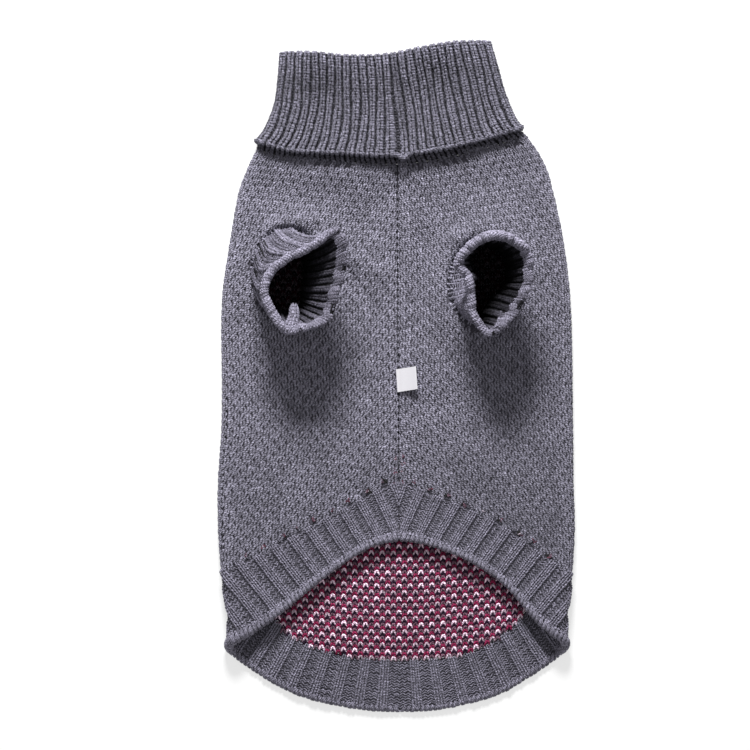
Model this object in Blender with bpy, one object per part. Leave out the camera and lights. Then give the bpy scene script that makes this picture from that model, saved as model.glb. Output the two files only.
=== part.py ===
"""Knitted dog sweater, laid flat with its belly side up.

Frame: +Y runs towards the collar, +X to the right of the belly, +Z up.  The origin is on the surface that the
sweater lies on, under the middle of its outline.  Sizes below are millimetres; the meshes are in metres.

The body is a flattened tube.  A place on it is given by how far round it lies (turn) and by its y.  Turn is 0 at
the belly seam, 0.5 at the right fold, -0.5 at the left fold, and 1 or -1 at the middle of the back.  Every piece
of the body is a wall between an outer and an inner set of rows of such places.
"""
import math

import bpy
import bmesh
from mathutils import Vector

MM = 0.001

# Cloth
BODY_WALL = 2.6            # jacquard knit, two yarn layers
RIB_WALL = 2.2             # rib knit, without the raised columns
RIB_RISE = 0.8             # how far a rib stands out of it
BEAD_RISE = 0.7            # rolled cast-off edge
SEAM_GAP = 0.3             # between two pieces that are sewn together
HEM_SEAM_GAP = 0.4         # the same along y where body and hem meet on a slant
LAYER_GAP = 0.4            # between two layers that lie on each other

# Body
FOLD_REACH = 6.0           # width of the rounded side fold
FLAT_HEIGHT = 2 * BODY_WALL + LAYER_GAP
NECK_RUN = 24.0            # length over which the body climbs onto the turned-down collar
ARCH_LIFT = 3.6            # how far the belly hem stands off the back
SLEEVE_PULL = 3.4          # how far the sleeves pull the belly up round the armholes
PULL_REACH = 15.0
BELLY_SEAM_X = (0.5, 1.7)  # belly seam at the neck and at the hem
BELLY_SEAM_Y = (126.0, -97.0)
BODY_ROWS = (0.0, 0.04, 0.08, 0.13, 0.19, 0.26, 0.33, 0.41, 0.5, 0.62, 0.75, 0.88, 1.0)
BELLY_COLUMNS = 12

# Hem
HEM_RIBS_A_SIDE = 21
HEM_SEAM_RIB = 9.5         # rib at which the belly hem is sewn to the back hem
HEM_FOLD_RIB = 13          # the side fold ends before this rib
HEM_BANDS = (0.0, 0.3, 0.62, 0.9, 1.0)
HEM_RIB_SHAPE = ((0.08, 1.0), (0.42, 1.0), (0.52, 0.0), (0.98, 0.0))

# Collar
COLLAR_RIBS = 56
COLLAR_RIB_SHAPE = ((0.0, 0.0), (0.3, 1.0), (0.7, 1.0))
COLLAR_REACH = 7.0
COLLAR_SLIT = 0.5
COLLAR_LAYER = RIB_WALL + LAYER_GAP
COLLAR_HALF_HEIGHT = (4 * RIB_WALL + 2 * LAYER_GAP + COLLAR_SLIT) / 2
COLLAR_NECK = 1.08         # the neck seam, as a share of the turned-down length
FALL_ROWS = (1.0, 0.94, 0.7, 0.36, 0.06)
CROWN_ANGLES = (25.0, 90.0, 155.0)
STAND_ROWS = (0.06, 0.5, 0.985, 1.02, COLLAR_NECK)
STAND_RIBS_FROM = 1.0
FALL_FLARE = 1.6           # how far the turned-down edge stands off

# Sleeves
SLEEVE_RIBS = 30
SLEEVE_RIB_SHAPE = ((0.0, 0.0), (0.3, 1.0), (0.7, 1.0))
SLEEVE_ROWS = (0.07, 0.35, 0.65, 0.92, 1.0)
SLEEVE_BULGE = 2.0
ARMHOLE_SIDES = 60

# Label
LABEL_LENGTH = 12.4
LABEL_WIDTH = 13.6
LABEL_THICK = 1.1
LABEL_Y = -2.7
LABEL_RISE = 3.4
LABEL_TILT = 2.6


def table(names, rows):
    """Numbers under named columns; the first column is the one that is looked up."""
    return dict(zip(names.split(), zip(*rows)))


# Outline of the body as it lies, and the height of its side folds
BODY = table("y left right fold", (
    (146.0, -79.5, 75.5, 5.7),
    (136.0, -83.4, 83.6, 5.7),
    (124.8, -88.9, 89.9, 6.2),
    (110.4, -94.3, 94.1, 6.8),
    (81.6, -99.4, 100.1, 7.6),
    (45.6, -104.3, 104.3, 8.2),
    (-26.4, -104.5, 105.9, 7.6),
    (-62.4, -106.7, 106.2, 7.6),
    (-91.2, -106.7, 106.9, 8.2),
    (-120.0, -104.5, 105.2, 9.6),
    (-141.6, -101.0, 102.5, 11.2),
    (-163.0, -100.6, 101.4, 12.0)))

# The seam between body and hem rib, and the hem's outer edge, from the belly seam round to the middle back
HEM = table("turn seam_left seam_right edge_left edge_right", (
    (0.0, -63.0, -63.0, -97.2, -97.2),
    (0.05, -67.0, -66.3, -99.2, -98.4),
    (0.1, -73.0, -71.0, -103.8, -101.3),
    (0.2, -84.5, -79.8, -118.5, -110.0),
    (0.3, -96.8, -90.9, -135.0, -124.5),
    (0.4, -108.6, -106.0, -150.5, -146.5),
    (0.5, -117.0, -119.0, -162.3, -161.8),
    (0.6, -134.5, -133.5, -177.4, -176.2),
    (0.7, -155.5, -155.0, -189.2, -188.8),
    (0.8, -164.6, -166.0, -195.6, -195.4),
    (0.9, -168.8, -169.3, -199.3, -199.4),
    (1.0, -170.3, -170.3, -200.4, -200.4)))

# Upper fold and lower edge of the collar, from its left side to its right side
COLLAR = table("across fold edge", (
    (-1.0, 193.6, 140.4),
    (-0.75, 193.6, 134.6),
    (-0.4, 191.6, 133.0),
    (0.0, 192.0, 131.4),
    (0.35, 196.0, 134.6),
    (0.7, 199.6, 141.4),
    (1.0, 200.5, 148.4)))

# Sides of the collar, from its fold down past its lower edge
COLLAR_SIDE = table("below left right", (
    (0.0, -69.2, 55.8),
    (0.3, -70.4, 60.4),
    (0.6, -72.8, 64.8),
    (0.88, -79.0, 70.9),
    (1.0, -84.1, 75.5),
    (1.1, -85.8, 81.0)))

ARMHOLES = {
    "left": {"x": -65.8, "y": 62.0, "half_x": 22.8, "half_y": 26.4},
    "right": {"x": 54.1, "y": 54.9, "half_x": 22.8, "half_y": 27.4}}

# Outer edge of each cuff, from its left-most place and on anticlockwise
CUFFS = {
    "left": table("x y height", (
        (-80.4, 55.4, 39.0),
        (-79.8, 45.5, 39.0),
        (-66.4, 26.8, 41.0),
        (-55.5, 26.0, 42.0),
        (-38.8, 33.4, 42.5),
        (-33.1, 50.2, 42.5),
        (-27.9, 65.9, 43.0),
        (-31.5, 82.5, 44.0),
        (-37.0, 85.6, 44.0),
        (-52.4, 74.1, 42.5),
        (-64.0, 69.4, 41.0),
        (-74.4, 63.9, 39.5))),
    "right": table("x y height", (
        (34.2, 66.0, 43.0),
        (40.4, 56.6, 41.5),
        (42.7, 45.5, 41.0),
        (45.5, 33.6, 41.5),
        (54.4, 23.2, 42.0),
        (65.4, 31.5, 42.5),
        (74.2, 43.0, 43.0),
        (78.8, 57.5, 43.0),
        (78.0, 71.0, 43.5),
        (69.0, 80.6, 44.0),
        (56.5, 83.4, 44.0),
        (43.5, 78.0, 43.5)))}

COLOURS = {
    "grey_knit": (0.130, 0.125, 0.155),
    "grey_rib": (0.118, 0.112, 0.140),
    "colour_knit": (0.185, 0.089, 0.133),
    "label_tape": (0.780, 0.760, 0.800)}


def look_up(tab, name, at):
    """Smooth curve through one column of a table, at a value of its first column."""
    keys = next(iter(tab.values()))
    values = tab[name]
    if keys[0] > keys[-1]:
        keys = keys[::-1]
        values = values[::-1]
    at = min(max(at, keys[0]), keys[-1])
    i = 0
    while i < len(keys) - 2 and at > keys[i + 1]:
        i += 1

    def slope(k):
        lo = max(k - 1, 0)
        hi = min(k + 1, len(keys) - 1)
        return (values[hi] - values[lo]) / (keys[hi] - keys[lo])

    step = keys[i + 1] - keys[i]
    t = (at - keys[i]) / step
    return (values[i] * (1 + 2 * t) * (1 - t) ** 2 + slope(i) * step * t * (1 - t) ** 2
            + values[i + 1] * t * t * (3 - 2 * t) + slope(i + 1) * step * t * t * (t - 1))


def ease(t):
    """0 up to 1 with a soft start and end."""
    t = min(max(t, 0.0), 1.0)
    return t * t * (3 - 2 * t)


def blend(low, high, share):
    return low + (high - low) * share


# Body form

def belly_seam_x(y):
    share = (y - BELLY_SEAM_Y[0]) / (BELLY_SEAM_Y[1] - BELLY_SEAM_Y[0])
    return blend(BELLY_SEAM_X[0], BELLY_SEAM_X[1], share)


def section(y, side):
    """Flat run, fold height and half girth of the body on one side (-1 left, 1 right)."""
    edge = look_up(BODY, "right" if side > 0 else "left", y)
    flat = abs(edge - belly_seam_x(y)) - FOLD_REACH
    rise = look_up(BODY, "fold", y) / 2
    bend = math.pi * math.sqrt((FOLD_REACH ** 2 + rise ** 2) / 2)
    return flat, rise, bend


def hem_line(kind, turn):
    return look_up(HEM, kind + ("_right" if turn > 0 else "_left"), abs(turn))


def collar_line(x, below):
    """y of the collar at x, below its fold by a share of the turned-down length."""
    left = look_up(COLLAR_SIDE, "left", below)
    right = look_up(COLLAR_SIDE, "right", below)
    share = (2 * x - left - right) / (right - left)
    return blend(look_up(COLLAR, "fold", share), look_up(COLLAR, "edge", share), below)


def neck_lift(x, y):
    """The neck lies on the collar's back layer, so the body climbs to it."""
    return COLLAR_LAYER * ease(1 - (collar_line(x, COLLAR_NECK) - y) / NECK_RUN)


def sleeve_pull(x, y):
    pull = 0.0
    for hole in ARMHOLES.values():
        out = math.hypot((x - hole["x"]) / hole["half_x"], (y - hole["y"]) / hole["half_y"])
        away = max(out - 1, 0) * (hole["half_x"] + hole["half_y"]) / 2
        pull += SLEEVE_PULL * math.exp(-(away / PULL_REACH) ** 2)
    return pull


def belly_top(x, y):
    """Height of the belly's outer face."""
    side = 1 if x > belly_seam_x(y) else -1
    flat, rise, bend = section(y, side)
    out = abs(x - belly_seam_x(y))
    turn = side * min(out / (2 * flat + bend), 0.5)
    down = (hem_line("seam", turn) - y) / (hem_line("seam", turn) - hem_line("edge", turn))
    crown = FLAT_HEIGHT + sleeve_pull(x, y) + ARCH_LIFT * min(max(down, 0), 1) ** 2
    return neck_lift(x, y) + blend(crown, 2 * rise, min(out / flat, 1) ** 6)


def place(turn, y, depth):
    """A point of the body, depth in from its outer face."""
    side = 1 if turn > 0 else -1
    flat, rise, bend = section(y, side)
    run = abs(turn) * (2 * flat + bend)
    if run < flat:
        x = belly_seam_x(y) + side * run
        return Vector((x, y, belly_top(x, y) - depth))
    if run > flat + bend:
        x = belly_seam_x(y) + side * (2 * flat + bend - run)
        return Vector((x, y, neck_lift(x, y) + depth))
    angle = math.pi * (0.5 - (run - flat) / bend)
    x = belly_seam_x(y) + side * (flat + (FOLD_REACH - depth) * math.cos(angle))
    return Vector((x, y, neck_lift(x, y) + rise + (rise - depth) * math.sin(angle)))


def neck_line(turn, depth):
    """y at which the neck seam crosses a line that runs down the body."""
    y = collar_line(0.0, COLLAR_NECK)
    for _ in range(4):
        y = collar_line(place(turn, y, depth).x, COLLAR_NECK)
    return y


def shown_from_above(point_turn):
    """1 on the belly face, easing to 0 under the side fold, where the sweater lies on the surface."""
    return ease((0.53 - abs(point_turn)) / 0.05)


# Meshes

def cloth_wall(name, outside, inside, tube, material):
    """Closed wall of cloth between two equal stacks of rows of points.

    Neighbouring rows have as many points, or a whole number of times as many.  The rows of a tube close on
    themselves; other rows end at seams, where the wall is closed too.
    """
    mesh = bmesh.new()
    made = [[[mesh.verts.new(p * MM) for p in row] for row in stack] for stack in (outside, inside)]

    def bridge(a, b):
        if len(a) < len(b):
            a, b = b, a
        spans = len(b) if tube else len(b) - 1
        each = len(a) // len(b) if tube else (len(a) - 1) // spans
        for i in range(spans):
            wide = [a[(i * each + k) % len(a)] for k in range(each + 1)]
            mesh.faces.new(wide + [b[(i + 1) % len(b)], b[i]])

    for stack in made:
        for upper, lower in zip(stack, stack[1:]):
            bridge(upper, lower)
    bridge(made[0][0], made[1][0])
    bridge(made[0][-1], made[1][-1])
    if not tube:
        for end in (0, -1):
            for k in range(len(outside) - 1):
                mesh.faces.new((made[0][k][end], made[0][k + 1][end], made[1][k + 1][end], made[1][k][end]))
    bmesh.ops.recalc_face_normals(mesh, faces=mesh.faces)
    return finish_object(name, mesh, material)


def finish_object(name, mesh, material):
    data = bpy.data.meshes.new(name)
    mesh.to_mesh(data)
    mesh.free()
    data.shade_smooth()
    data.set_sharp_from_angle(angle=math.radians(50))
    data.materials.append(material)
    piece = bpy.data.objects.new(name, data)
    bpy.data.collections["dog_sweater"].objects.link(piece)
    return piece


def knit_material(name, roughness):
    material = bpy.data.materials.new(name)
    material.use_nodes = True
    shader = material.node_tree.nodes["Principled BSDF"]
    shader.inputs["Base Color"].default_value = (*COLOURS[name], 1.0)
    shader.inputs["Roughness"].default_value = roughness
    shader.inputs["Metallic"].default_value = 0.0
    material.diffuse_color = (*COLOURS[name], 1.0)
    return material


# Body panels

def panel_rows(turns, shares, depth):
    """Rows of a body panel from the neck seam down to the hem seam."""
    rows = [[] for _ in shares]
    for turn in turns:
        top = neck_line(turn, depth) - SEAM_GAP / 2
        low = hem_line("seam", turn) + HEM_SEAM_GAP / 2
        for row, share in zip(rows, shares):
            row.append(place(turn, blend(top, low, share), depth))
    return rows


def spread(start, end, steps):
    return [blend(start, end, k / steps) for k in range(steps + 1)]


def seam_share():
    """Half a seam gap, as a share of the half girth."""
    flat, _, bend = section(0.0, 1)
    return SEAM_GAP / 2 / (2 * flat + bend)


def back_turns(side):
    """Turns of the back panel's columns, in line with the hem's: all round the fold, then every other one."""
    shares = [share for _, share, _ in hem_columns(HEM_SEAM_RIB, HEM_RIBS_A_SIDE, side)][:-1]
    fold_columns = sum(1 for share in shares if share * HEM_RIBS_A_SIDE < HEM_FOLD_RIB)
    kept = shares[:fold_columns] + shares[fold_columns + 1::2] + [1.0]
    return [turn_at("seam", side, share) for share in kept]


def make_back(material):
    turns = back_turns(1) + [-turn for turn in reversed(back_turns(-1)[:-1])]
    outside = panel_rows(turns, BODY_ROWS, 0.0)
    inside = panel_rows(turns, BODY_ROWS, BODY_WALL)
    return cloth_wall("back_panel", outside, inside, False, material)


def make_belly(side_name, cutters, material):
    side = 1 if side_name == "right" else -1
    turns = [side * t for t in spread(seam_share(), side_seam(side) - seam_share(), BELLY_COLUMNS)]
    outside = panel_rows(turns, BODY_ROWS, 0.0)
    inside = panel_rows(turns, BODY_ROWS, BODY_WALL)
    belly = cloth_wall("belly_" + side_name, outside, inside, False, material)
    cut = belly.modifiers.new("armhole", "BOOLEAN")
    cut.operation = "DIFFERENCE"
    cut.solver = "EXACT"
    cut.object = armhole_cutter(side_name, cutters)
    return belly


def armhole_cutter(side_name, cutters):
    hole = ARMHOLES[side_name]
    height = 40.0
    bpy.ops.mesh.primitive_cylinder_add(
        vertices=ARMHOLE_SIDES, radius=1.0, depth=height * MM,
        location=(hole["x"] * MM, hole["y"] * MM, height / 2 * MM))
    cutter = bpy.context.active_object
    cutter.name = "armhole_cutter_" + side_name
    cutter.scale = (hole["half_x"] * MM, hole["half_y"] * MM, 1.0)
    bpy.ops.object.transform_apply(location=False, rotation=False, scale=True)
    for collection in list(cutter.users_collection):
        collection.objects.unlink(cutter)
    cutters.objects.link(cutter)
    cutter.hide_render = True
    cutter.display_type = "WIRE"
    return cutter


# Hem rib

LINE_STEPS = 120


def line_lengths(kind, side):
    """Length along a hem line from the belly seam, at equal steps of turn."""
    lengths = [0.0]
    previous = None
    for k in range(LINE_STEPS + 1):
        turn = side * max(k / LINE_STEPS, 1e-6)
        y = hem_line(kind, turn)
        flat, _, bend = section(y, side)
        here = (abs(turn) * (2 * flat + bend), y)
        if previous:
            lengths.append(lengths[-1] + math.dist(previous, here))
        previous = here
    return lengths


HEM_LENGTHS = {}


def turn_at(kind, side, share):
    """Turn at which a share of a hem line's length is reached."""
    if (kind, side) not in HEM_LENGTHS:
        HEM_LENGTHS[kind, side] = line_lengths(kind, side)
    lengths = HEM_LENGTHS[kind, side]
    wanted = share * lengths[-1]
    k = 0
    while k < LINE_STEPS - 1 and lengths[k + 1] < wanted:
        k += 1
    return (k + (wanted - lengths[k]) / (lengths[k + 1] - lengths[k])) / LINE_STEPS


def side_seam(side):
    """The side seam runs up the body from the seam in the hem."""
    return turn_at("seam", side, HEM_SEAM_RIB / HEM_RIBS_A_SIDE)


def hem_columns(first, last, side):
    """Shares of the hem's length, and the rise of the rib there, between two ribs."""
    gap = 0.013
    columns = [(first + gap, 0.0)]
    for rib in range(int(first), int(math.ceil(last))):
        for offset, rise in HEM_RIB_SHAPE:
            if first + 2 * gap < rib + offset < last - 2 * gap:
                columns.append((rib + offset, rise))
    columns.append((last - gap, 0.0))
    return [(side, rib / HEM_RIBS_A_SIDE, rise) for rib, rise in columns]


def hem_rows(columns, depth, ribs_in, ribs_out):
    """Rows of the hem from its seam to its cast-off edge; ribs are raised on the faces asked for."""
    rows = []
    for band in HEM_BANDS:
        row = []
        for side, share, rise in columns:
            seam_turn = side * turn_at("seam", side, share)
            edge_turn = side * turn_at("edge", side, share)
            y = blend(hem_line("seam", seam_turn) - HEM_SEAM_GAP / 2, hem_line("edge", edge_turn), band)
            turn = blend(seam_turn, edge_turn, band)
            raised = RIB_RISE * rise * ease(band / 0.12) * ease((1 - band) / 0.08)
            bead = BEAD_RISE if band == HEM_BANDS[-2] else 0.0
            seen = shown_from_above(turn)
            move = ribs_in * (raised + bead) - ribs_out * seen * (raised + bead)
            row.append(place(turn, y, depth + move))
        rows.append(row)
    return rows


def make_hem(name, columns, faces_up_inside, material):
    outside = hem_rows(columns, 0.0, 0.0, 1.0)
    inside = hem_rows(columns, RIB_WALL, 1.0 if faces_up_inside else 0.0, 0.0)
    return cloth_wall(name, outside, inside, False, material)


def make_hems(material):
    last = HEM_RIBS_A_SIDE
    for side, name in ((-1, "left"), (1, "right")):
        columns = hem_columns(0, HEM_SEAM_RIB, side)
        make_hem("hem_belly_" + name, columns, False, material)
    right = hem_columns(HEM_SEAM_RIB, last, 1)[:-1]
    left = hem_columns(HEM_SEAM_RIB, last, -1)[:-1]
    make_hem("hem_back", right + [(1, 1.0, 0.0)] + left[::-1], True, material)


# Collar

def collar_point(turn, below, depth, up, flare):
    """A point of the collar: depth in from the turned-down face, up past the row in the cloth's plane."""
    side = 1 if turn > 0 else -1
    left = look_up(COLLAR_SIDE, "left", below)
    right = look_up(COLLAR_SIDE, "right", below)
    middle = (left + right) / 2
    flat = (right - left) / 2 - COLLAR_REACH
    bend = math.pi * math.sqrt((COLLAR_REACH ** 2 + COLLAR_HALF_HEIGHT ** 2) / 2)
    run = abs(turn) * (2 * flat + bend)
    if run < flat:
        x = middle + side * run
        z = 2 * COLLAR_HALF_HEIGHT - depth + flare
    elif run > flat + bend:
        x = middle + side * (2 * flat + bend - run)
        z = depth
    else:
        angle = math.pi * (0.5 - (run - flat) / bend)
        x = middle + side * (flat + (COLLAR_REACH - depth) * math.cos(angle))
        z = COLLAR_HALF_HEIGHT + (COLLAR_HALF_HEIGHT - depth + flare) * math.sin(angle)
        z = max(z, COLLAR_HALF_HEIGHT + (COLLAR_HALF_HEIGHT - depth) * math.sin(angle))
    return Vector((x, collar_line(x, below) + up, z))


def collar_row(below, depth, ribbed=False, rise=0.0, bead=0.0, up=0.0, flare=0.0):
    """One ring of the collar, with every point of a rib's shape or with one point a rib."""
    row = []
    for rib in range(COLLAR_RIBS):
        for offset, height in COLLAR_RIB_SHAPE if ribbed else COLLAR_RIB_SHAPE[:1]:
            turn = 2 * (rib + 0.5 + offset) / COLLAR_RIBS - 1
            raised = (rise * height + bead) * shown_from_above(turn)
            row.append(collar_point(turn, below, depth - raised, up, flare))
    return row


def make_collar(material):
    """The wall runs from the cast-off edge up to the fold, over it, and down inside to the neck seam."""
    fall_over = []
    fall_under = []
    for below in FALL_ROWS:
        flare = FALL_FLARE * below ** 3
        bead = BEAD_RISE if below == FALL_ROWS[1] else 0.0
        rise = RIB_RISE * ease((1 - below) / 0.05)
        fall_over.append(collar_row(below, 0.0, True, rise, bead, 0.0, flare))
        fall_under.append(collar_row(below, RIB_WALL, flare=flare))
    crown = RIB_WALL + LAYER_GAP / 2
    for degrees in CROWN_ANGLES:
        angle = math.radians(degrees)
        over = crown - crown * math.cos(angle)
        under = crown - LAYER_GAP / 2 * math.cos(angle)
        over_up = crown * math.sin(angle) - crown
        under_up = LAYER_GAP / 2 * math.sin(angle) - crown
        fall_over.append(collar_row(0.0, over, degrees <= 90, RIB_RISE / 2, up=over_up))
        fall_under.append(collar_row(0.0, under, up=under_up))
    for below in STAND_ROWS:
        ribbed = below > STAND_RIBS_FROM
        up = SEAM_GAP / 2 if below == COLLAR_NECK else 0.0
        fall_over.append(collar_row(below, 2 * crown, up=up))
        fall_under.append(collar_row(below, COLLAR_LAYER, ribbed, RIB_RISE, up=up))
    return cloth_wall("collar", fall_over, fall_under, True, material)


# Sleeves

def closed_curve(rows, count):
    """Points at equal distances along a smooth closed curve through the rows of a table."""
    points = [Vector(p) for p in zip(rows["x"], rows["y"], rows["height"])]
    total = len(points)
    fine = []
    steps = 12
    for i in range(total):
        a, b, c, d = (points[(i + k - 1) % total] for k in range(4))
        for k in range(steps):
            t = k / steps
            fine.append(0.5 * (2 * b + (c - a) * t + (2 * a - 5 * b + 4 * c - d) * t ** 2
                               + (3 * b - a - 3 * c + d) * t ** 3))
    lengths = [0.0]
    for k in range(len(fine)):
        lengths.append(lengths[-1] + (fine[(k + 1) % len(fine)] - fine[k]).length)
    result = []
    k = 0
    for i in range(count):
        wanted = lengths[-1] * i / count
        while lengths[k + 1] < wanted:
            k += 1
        share = (wanted - lengths[k]) / (lengths[k + 1] - lengths[k])
        result.append(fine[k].lerp(fine[(k + 1) % len(fine)], share))
    return result


def outward(ring):
    """Level direction that points out of an anticlockwise ring at each of its points."""
    total = len(ring)
    result = []
    for k in range(total):
        along = ring[(k + 1) % total] - ring[k - 1]
        result.append(Vector((along.y, -along.x, 0.0)).normalized())
    return result


def armhole_ring(hole, count, inset):
    """Ring of an armhole, from its left-most place and on anticlockwise, without heights."""
    ring = []
    for k in range(count):
        angle = math.pi + 2 * math.pi * k / count
        ring.append(Vector((hole["x"] + (hole["half_x"] - inset) * math.cos(angle),
                            hole["y"] + (hole["half_y"] - inset) * math.sin(angle), 0.0)))
    return ring


def straight_ribs(base, cuff):
    """How many places to turn the cuff by so that its ribs run up from the armhole with the least twist."""
    def strain(shift):
        return sum((low - cuff[(k + shift) % len(cuff)]).xy.length_squared for k, low in enumerate(base))

    return min(range(len(cuff)), key=strain)


def sleeve_row(side_name, share, count, inset):
    """One ring of a sleeve between the armhole (0) and the cuff's edge (1)."""
    hole = ARMHOLES[side_name]
    shift = straight_ribs(armhole_ring(hole, SLEEVE_RIBS, 0.0), closed_curve(CUFFS[side_name], SLEEVE_RIBS))
    base = armhole_ring(hole, count, SEAM_GAP)
    cuff = closed_curve(CUFFS[side_name], count)
    ring = []
    for k, low in enumerate(base):
        foot = Vector((low.x, low.y, belly_top(low.x, low.y) + 0.2))
        high = cuff[(k + shift * count // SLEEVE_RIBS) % count]
        ring.append(foot.lerp(high, share))
    bulge = SLEEVE_BULGE * math.sin(math.pi * share)
    return [p + n * (bulge - inset) for p, n in zip(ring, outward(ring))]


def make_sleeve(side_name, material):
    shape = [rise for _, rise in SLEEVE_RIB_SHAPE]
    count = SLEEVE_RIBS * len(shape)
    hole = ARMHOLES[side_name]
    outside = []
    inside = []
    for depth in (BODY_WALL - SEAM_GAP, -0.2):
        for stack, points, inset in ((outside, count, SEAM_GAP), (inside, SLEEVE_RIBS, SEAM_GAP + RIB_WALL)):
            ring = armhole_ring(hole, points, inset)
            stack.append([Vector((p.x, p.y, belly_top(p.x, p.y) - depth)) for p in ring])
    for share in SLEEVE_ROWS:
        ring = sleeve_row(side_name, share, count, 0.0)
        raised = RIB_RISE * ease((1 - share) / 0.05)
        bead = BEAD_RISE if share == SLEEVE_ROWS[-2] else 0.0
        outside.append([p + n * (bead + raised * shape[k % len(shape)])
                        for k, (p, n) in enumerate(zip(ring, outward(ring)))])
        inside.append(sleeve_row(side_name, share, SLEEVE_RIBS, RIB_WALL))
    return cloth_wall("sleeve_" + side_name, outside, inside, True, material)


# Label

def make_label(material):
    """Folded tape that leaves the belly seam to the right, its folded end a little off the belly."""
    over = []
    under = []
    for along in (0.0, 0.25, 0.5, 0.75, 0.94, 1.0):
        thick = LABEL_THICK * (0.55 if along == 1.0 else 1.0)
        row_over = []
        row_under = []
        for half in (-0.5, 0.0, 0.5):
            x = belly_seam_x(LABEL_Y) + LABEL_LENGTH * along
            y = LABEL_Y + LABEL_WIDTH * half + LABEL_TILT * (along - 0.5)
            z = belly_top(x, y) + LAYER_GAP + LABEL_RISE * along ** 2 + (LABEL_THICK - thick) / 2
            row_over.append(Vector((x, y, z + thick)))
            row_under.append(Vector((x, y, z)))
        over.append(row_over)
        under.append(row_under)
    return cloth_wall("label", over, under, False, material)


def main():
    for leftover in list(bpy.data.objects):
        bpy.data.objects.remove(leftover, do_unlink=True)
    sweater = bpy.data.collections.new("dog_sweater")
    cutters = bpy.data.collections.new("cutters")
    bpy.context.scene.collection.children.link(sweater)
    bpy.context.scene.collection.children.link(cutters)
    grey_knit = knit_material("grey_knit", 0.95)
    grey_rib = knit_material("grey_rib", 0.95)
    make_back(knit_material("colour_knit", 0.9))
    for side_name in ("left", "right"):
        make_belly(side_name, cutters, grey_knit)
    make_hems(grey_rib)
    make_collar(grey_rib)
    for side_name in ("left", "right"):
        make_sleeve(side_name, grey_rib)
    make_label(knit_material("label_tape", 0.8))


main()
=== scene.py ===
# %% [markdown]
# # A knitted dog sweater, laid flat with its belly up
# The sweater is a flattened tube of double knit cloth: grey outside, four colours inside.  A ribbed collar
# is turned down at the neck, ribbed cuffs stand up out of the belly, and a ribbed hem runs round an arch at
# the belly and a long curve at the back.  The lesson builds each piece as the real one is made: first the
# cloth as a thin wall, then the yarn that is looped over it, stitch by stitch.

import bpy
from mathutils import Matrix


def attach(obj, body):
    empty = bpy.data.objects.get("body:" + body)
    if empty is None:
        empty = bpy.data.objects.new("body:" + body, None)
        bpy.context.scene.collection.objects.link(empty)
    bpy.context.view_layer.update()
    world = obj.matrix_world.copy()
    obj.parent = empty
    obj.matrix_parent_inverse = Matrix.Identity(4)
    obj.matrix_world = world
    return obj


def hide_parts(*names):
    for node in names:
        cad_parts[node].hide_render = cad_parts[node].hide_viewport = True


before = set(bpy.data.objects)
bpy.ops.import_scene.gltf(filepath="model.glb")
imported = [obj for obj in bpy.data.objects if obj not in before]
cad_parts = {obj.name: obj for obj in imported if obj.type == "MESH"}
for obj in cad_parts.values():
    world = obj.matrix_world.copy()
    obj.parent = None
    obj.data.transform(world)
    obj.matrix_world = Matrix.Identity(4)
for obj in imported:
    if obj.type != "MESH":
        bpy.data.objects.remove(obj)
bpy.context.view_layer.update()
print("nodes:", ", ".join(sorted(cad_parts)))

# %% More tools, and the units
import math

import bpy
import numpy as np
from mathutils import Vector

MM = 0.001
chance = np.random.default_rng(7)

# %% [markdown]
# ## Camera and light
# The sweater is looked at from straight above with a long lens.  One soft light stands low beyond the
# collar, so that the cuffs throw shadows towards the hem, and the bright room fills the rest.

# %% Camera
def new_object(name, data):
    """An object, put into the scene."""
    made = bpy.data.objects.new(name, data)
    bpy.context.scene.collection.objects.link(made)
    return made


camera = new_object("camera", bpy.data.cameras.new("camera"))
camera.location = (-0.0127, 0.0006, 1.5)
camera.data.sensor_width = 36.0
camera.data.lens = 120.0
camera.data.clip_end = 20.0
bpy.context.scene.camera = camera

# %% Light
KEY_PLACE = Vector((-0.07, 1.05, 0.66))
KEY_SIZE = (0.34, 0.20)
KEY_POWER = 32.0
ROOM_LIGHT = 0.46
key = new_object("key", bpy.data.lights.new("key", "AREA"))
key.data.shape = "RECTANGLE"
key.data.size, key.data.size_y = KEY_SIZE
key.data.energy = KEY_POWER
key.location = KEY_PLACE
key.rotation_euler = (-KEY_PLACE).to_track_quat("-Z", "Y").to_euler()
room = bpy.data.worlds.new("room")
room.use_nodes = True
sky = room.node_tree.nodes["Background"].inputs
sky["Color"].default_value = (1.0, 1.0, 1.0, 1.0)
sky["Strength"].default_value = ROOM_LIGHT
bpy.context.scene.world = room
bpy.context.scene.view_settings.view_transform = "Standard"

# %% [markdown]
# ## Nodes written as sums
# A material is a net of nodes.  `Wire` stands for one output of a node, so that patterns can be written as
# ordinary sums, and `add` makes any other node.

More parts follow.
